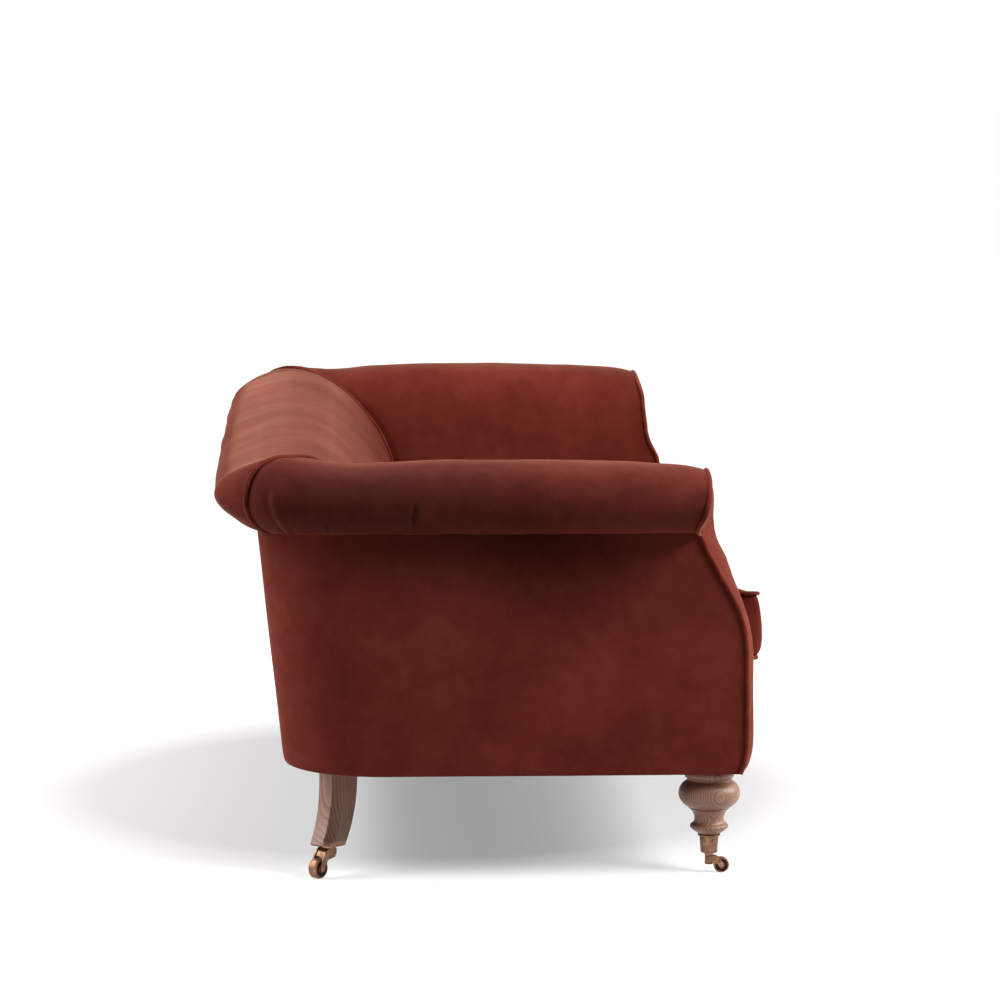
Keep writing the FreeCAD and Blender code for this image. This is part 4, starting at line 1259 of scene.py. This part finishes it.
def lathe(bm, profile, steps, closed=False, matrix=Matrix()):
    # a profile of (radius, height) in millimetres, turned about Z and added to the bmesh
    form = bmesh.new()
    verts, edges = addLine(form, [(r * mm, 0.0, z * mm) for r, z in profile], closed)
    bmesh.ops.spin(form, geom=verts + edges, cent=(0, 0, 0), axis=(0, 0, 1), angle=math.tau, steps=steps,
                   use_merge=True)
    bmesh.ops.remove_doubles(form, verts=form.verts, dist=weld)
    faceOut(form)
    addForm(bm, form, matrix)


def buildFrontLegs():
    bm = bmesh.new()
    grain = bm.verts.layers.float_vector.new("grain")
    profile = []
    for part in frontLeg["parts"]:
        line = [(p.x, p.y) for p in smoothLine(part, 2.2)] if len(part) > 2 else part
        profile += line if not profile else line[1:]
    lathe(bm, profile, frontLeg["steps"])
    for vert in bm.verts:
        vert[grain] = vert.co.copy()
    first = bm.verts[:]
    twin = vertsOf(copyAll(bm))
    for vert in twin:
        vert[grain] = vert[grain] + Vector((0.004, 0.006, 0.05))
    x, y = frontLeg["place"]
    for verts, side in ((first, 1), (twin, -1)):
        bmesh.ops.translate(bm, vec=(side * x * mm, y * mm, 0), verts=verts)
    finishPiece("frontLegs", bm, weatheredOak, replaces=("front_legs",), sharp=38)


def buildRearLegs():
    bm = bmesh.new()
    grain = bm.verts.layers.float_vector.new("grain")
    curve = smoothTable(rearLeg["curve"], 0.04)
    centre = Vector((*rearLeg["place"], 0))

    def settle(vert, share):
        height = rearLeg["top"] - share * (rearLeg["top"] - rearLeg["foot"])
        half = (rearLeg["topSide"] - share * (rearLeg["topSide"] - rearLeg["footSide"])) * diagonal
        out = lookUp(curve, share) * rearLeg["sweep"] * diagonal
        plan = vert[grain]
        vert.co = Vector((centre.x + out + plan.x * half, centre.y + out + plan.y * half, height))

    cut = rearLeg["cut"]
    verts = [bm.verts.new((x, y, 0)) for x, y in [(1 - cut, -cut), (1 - cut, cut), (0, 1), (-1, 0), (0, -1)]]
    for vert in verts:
        vert[grain] = vert.co.copy()
        settle(vert, 0.0)
    face = bm.faces.new(verts)
    for share in evenSteps(0, 1, 1 / rearLeg["rows"])[1:]:
        result = bmesh.ops.extrude_face_region(bm, geom=[face], use_keep_orig=share < 0.1)
        face = facesOf(result["geom"])[0]
        for vert in face.verts:
            settle(vert, share)
    faceOut(bm)
    upright = [e for e in bm.edges
               if abs((e.verts[0].co - e.verts[1].co).z) > 3 and e.calc_face_angle(0) > 0.3]
    roundOff(bm, upright, rearLeg["arris"], 3)
    for vert in bm.verts:
        flat = vert.co - centre
        vert[grain] = Vector(((flat.x + flat.y) * diagonal, (flat.y - flat.x) * diagonal, flat.z + 90)) * mm
    toMetres(bm)
    mirrorTwin(bm)
    finishPiece("rearLegs", bm, weatheredOak, replaces=("rear_legs",), sharp=30)


# castors: spun cups, wheels and bosses, with cut cheeks
# along and up are measured from the swivel axis and the floor

cup = {"steps": 56, "profile": [
    (0.01, 38.3), (13.2, 38.3), (15.6, 69.6), (19.2, 70.1), (20, 69.5), (20.2, 68.4), (19.8, 67.4),
    (18, 66.9), (17.3, 66.2), (17.0, 64), (14.9, 37.6), (14.3, 36.7), (9.2, 36.5), (8.8, 36.2), (3.5, 36.1),
    (3.5, 20), (0.01, 20)],
    "screw": {"height": 54.7, "bearing": 43.7}}
screwDome = [(0.01, 1.1), (0.9, 1.0), (1.8, 0.6), (2.3, 0.0), (2.3, -1.0)]
plate = {"low": (-22, -22, 55), "high": (22, 22, 58.3), "round": 0.6,
         "pin": [(4.4, 56), (4.4, 41), (0.01, 41)], "screws": [(14, 0), (0, 14), (-14, 0), (0, -14)]}
wheels = {
    "front": {"radius": 14, "width": 11, "bore": 2.55},
    "rear": {"radius": 18, "width": 17, "bore": 3.05},
}
horns = {
    "front": {
        "trail": 22, "inner": 6.1, "cheek": 2.4, "rivet": 3.0, "axle": 2.5,
        "boss": [(3.6, 35.6), (7.6, 35.6), (8.0, 35.1), (8.0, 32.4), (7.5, 31.8), (7.4, 31.2), (7.4, 16.2),
                 (6.6, 15.2), (5.2, 14.9), (3.6, 14.9)],
        "outline": [(-6.4, 29.6), (2, 31), (12, 30), (19, 26), (24.5, 19.4), (27.4, 13.6), (26, 10),
                    (22, 8.8), (18.4, 11), (15, 15.4), (9, 17.8), (0, 17.4), (-6.4, 17.6)]},
    "rear": {
        "trail": 28.6, "inner": 9.1, "cheek": 3.0, "rivet": 3.8, "axle": 3.0,
        "boss": [(4.6, 54.1), (11.4, 54.1), (11.9, 53.6), (11.9, 51.6), (11.2, 50.9), (10, 50.2),
                 (10, 39.4), (9, 38), (4.6, 38)],
        "outline": [(-9.6, 50), (-2, 53.4), (10, 53), (19, 48.4), (26.5, 39), (32, 28), (34.8, 19.5),
                    (33, 14), (28.6, 12), (24.2, 14.2), (21.6, 20.5), (15.5, 29.5), (7, 36.5), (-3, 39),
                    (-9.6, 39.4)],
        "bridge": [(-9.4, 34), (-9.4, 49.5), (-2, 52.2), (9.5, 52), (17.5, 47.8), (22, 42.5), (24, 38.8),
                   (16, 35.4), (11, 31), (4, 32)]},
}


def joint(name):
    return next(found for found in frame["joints"] if found["name"] == name)


def standing(place, out):
    # the matrix that stands a form on a place in metres, with its Z along out
    return Matrix.Translation(place) @ Vector(out).to_track_quat("Z", "Y").to_matrix().to_4x4()


def turnedAt(place, bearing):
    # the matrix that turns a form by its bearing and moves it over a place on the floor
    return Matrix.Translation((place[0], place[1], 0)) @ Matrix.Rotation(bearing, 4, "Z")


def addScrew(bm, place, out):
    # a domed screw head with a slot, standing on a surface that looks along out
    head = bmesh.new()
    lathe(head, screwDome, 20)
    cutGrid(head, 0, [-0.35 * mm, 0.35 * mm])
    for vert in head.verts:
        if abs(vert.co.x) < 0.3 * mm and vert.co.z > 0.2 * mm:
            vert.co.z -= 0.5 * mm
    addForm(bm, head, standing(Vector(place) * mm, out))


def addSlab(bm, outline, side, thickness, arris=0.0):
    # an upright slab cut to the outline, from one side on by its thickness, with its rims rounded
    slab = bmesh.new()
    slab.faces.new([slab.verts.new((along * mm, side * mm, up * mm)) for along, up in outline])
    thicken(slab, (0, thickness * mm, 0))
    if arris:
        rims = [e for e in slab.edges
                if e.calc_face_angle(0) > 1.0 and abs(e.verts[0].co.y - e.verts[1].co.y) < 1e-6]
        roundOff(slab, rims, arris * mm, 2)
    addForm(bm, slab)


def buildCups():
    bm = bmesh.new()
    lathe(bm, cup["profile"], cup["steps"])
    bearing = math.radians(180 + cup["screw"]["bearing"])
    wall = lookUp([(37.6, 14.9), (64, 17.0)], cup["screw"]["height"])
    out = (math.cos(bearing), math.sin(bearing), 0)
    addScrew(bm, (out[0] * wall, out[1] * wall, cup["screw"]["height"]), out)
    x, y = frontLeg["place"]
    bmesh.ops.translate(bm, vec=(-x * mm, y * mm, 0), verts=bm.verts)
    mirrorTwin(bm)
    finishPiece("castorCups", bm, antiqueBrass, replaces=("front_castor_cups",), sharp=30)


def buildPlates():
    bm = bmesh.new()
    addBox(bm, Vector(plate["low"]) * mm, Vector(plate["high"]) * mm)
    roundOff(bm, bm.edges[:], plate["round"] * mm, 2)
    lathe(bm, plate["pin"], 28)
    for along, across in plate["screws"]:
        addScrew(bm, (along, across, plate["low"][2]), (0, 0, -1))
    swivel = joint("rear_right_swivel")["pos_m"]
    bmesh.ops.transform(bm, matrix=turnedAt(swivel, eighthTurn), verts=bm.verts)
    mirrorTwin(bm)
    finishPiece("castorPlates", bm, antiqueBrass, replaces=("rear_castor_plates",), sharp=30)


def buildHorn(place, side):
    form = horns[place]
    bm = bmesh.new()
    lathe(bm, form["boss"], 40, closed=True)
    inner, cheek, rivet = form["inner"], form["cheek"], form["rivet"]
    hub = Vector((form["trail"], 0, wheels[place]["radius"])) * mm
    outline = [(p.x, p.y) for p in smoothLine(form["outline"], 1.6)]
    for sign in (1, -1):
        addSlab(bm, outline, sign * inner, sign * cheek, arris=0.55)
        # rivet head over the end of the axle
        dome = [(0.01, 0.9), (0.5 * rivet, 0.8), (0.85 * rivet, 0.45), (rivet, -0.1), (rivet, -0.4)]
        spot = hub + Vector((0, sign * (inner + cheek) * mm, 0))
        lathe(bm, dome, 24, matrix=standing(spot, (0, sign, 0)))
    if "bridge" in form:
        addSlab(bm, form["bridge"], -inner - 0.2, 2 * (inner + 0.2))
    reach, radius = inner + 0.4, form["axle"]
    lying = Matrix.Translation(hub) @ Matrix.Rotation(2 * eighthTurn, 4, "X")
    lathe(bm, [(0.01, -reach), (radius, -reach), (radius, reach), (0.01, reach)], 24, matrix=lying)
    name = place + "_" + side
    swivel, roll = joint(name + "_swivel")["pos_m"], joint(name + "_wheel_roll")["pos_m"]
    bearing = math.atan2(roll[1] - swivel[1], roll[0] - swivel[0])
    bmesh.ops.transform(bm, matrix=turnedAt(swivel, bearing), verts=bm.verts)
    finishPiece(place + side.capitalize() + "Horn", bm, antiqueBrass, body=name + "_castor",
                replaces=(name + "_castor_horn",), sharp=30)


def buildWheel(place, side):
    form = wheels[place]
    radius, half, bore = form["radius"], form["width"] / 2, form["bore"]
    dish = half - 0.22 * half - 0.6
    # hub, dished face, raised rim and rounded tread on both sides
    oneSide = [(bore, half - 0.2), (0.34 * radius, half - 0.2), (0.38 * radius, half - 0.6),
               (0.44 * radius, dish), (0.72 * radius, dish), (0.78 * radius, half - 0.5),
               (0.80 * radius, half), (0.93 * radius, half), (0.975 * radius, 0.88 * half),
               (radius, 0.7 * half)]
    bm = bmesh.new()
    lathe(bm, oneSide + [(r, -a) for r, a in reversed(oneSide)], 48, closed=True)
    # painted shade: the dished faces between hub and rim take the dark brass, where the wheel sits between
    # the fork's cheeks
    for face in bm.faces:
        middle = face.calc_center_median()
        reach = math.hypot(middle.x, middle.y) / mm
        if 0.36 * radius < reach < 0.79 * radius:
            face.material_index = 1
    name = place + "_" + side
    roll = joint(name + "_wheel_roll")
    bmesh.ops.transform(bm, matrix=standing(roll["pos_m"], roll["axis"]), verts=bm.verts)
    piece = finishPiece(place + side.capitalize() + "Wheel", bm, antiqueBrass, body=name + "_wheel",
                        replaces=(name + "_castor_wheel",), sharp=30)
    piece.data.materials.append(paintedShadeBrass)


buildFrontLegs()
buildRearLegs()
buildCups()
buildPlates()
for place in ("front", "rear"):
    for side in ("left", "right"):
        buildHorn(place, side)
        buildWheel(place, side)
print("legs and castors are built")
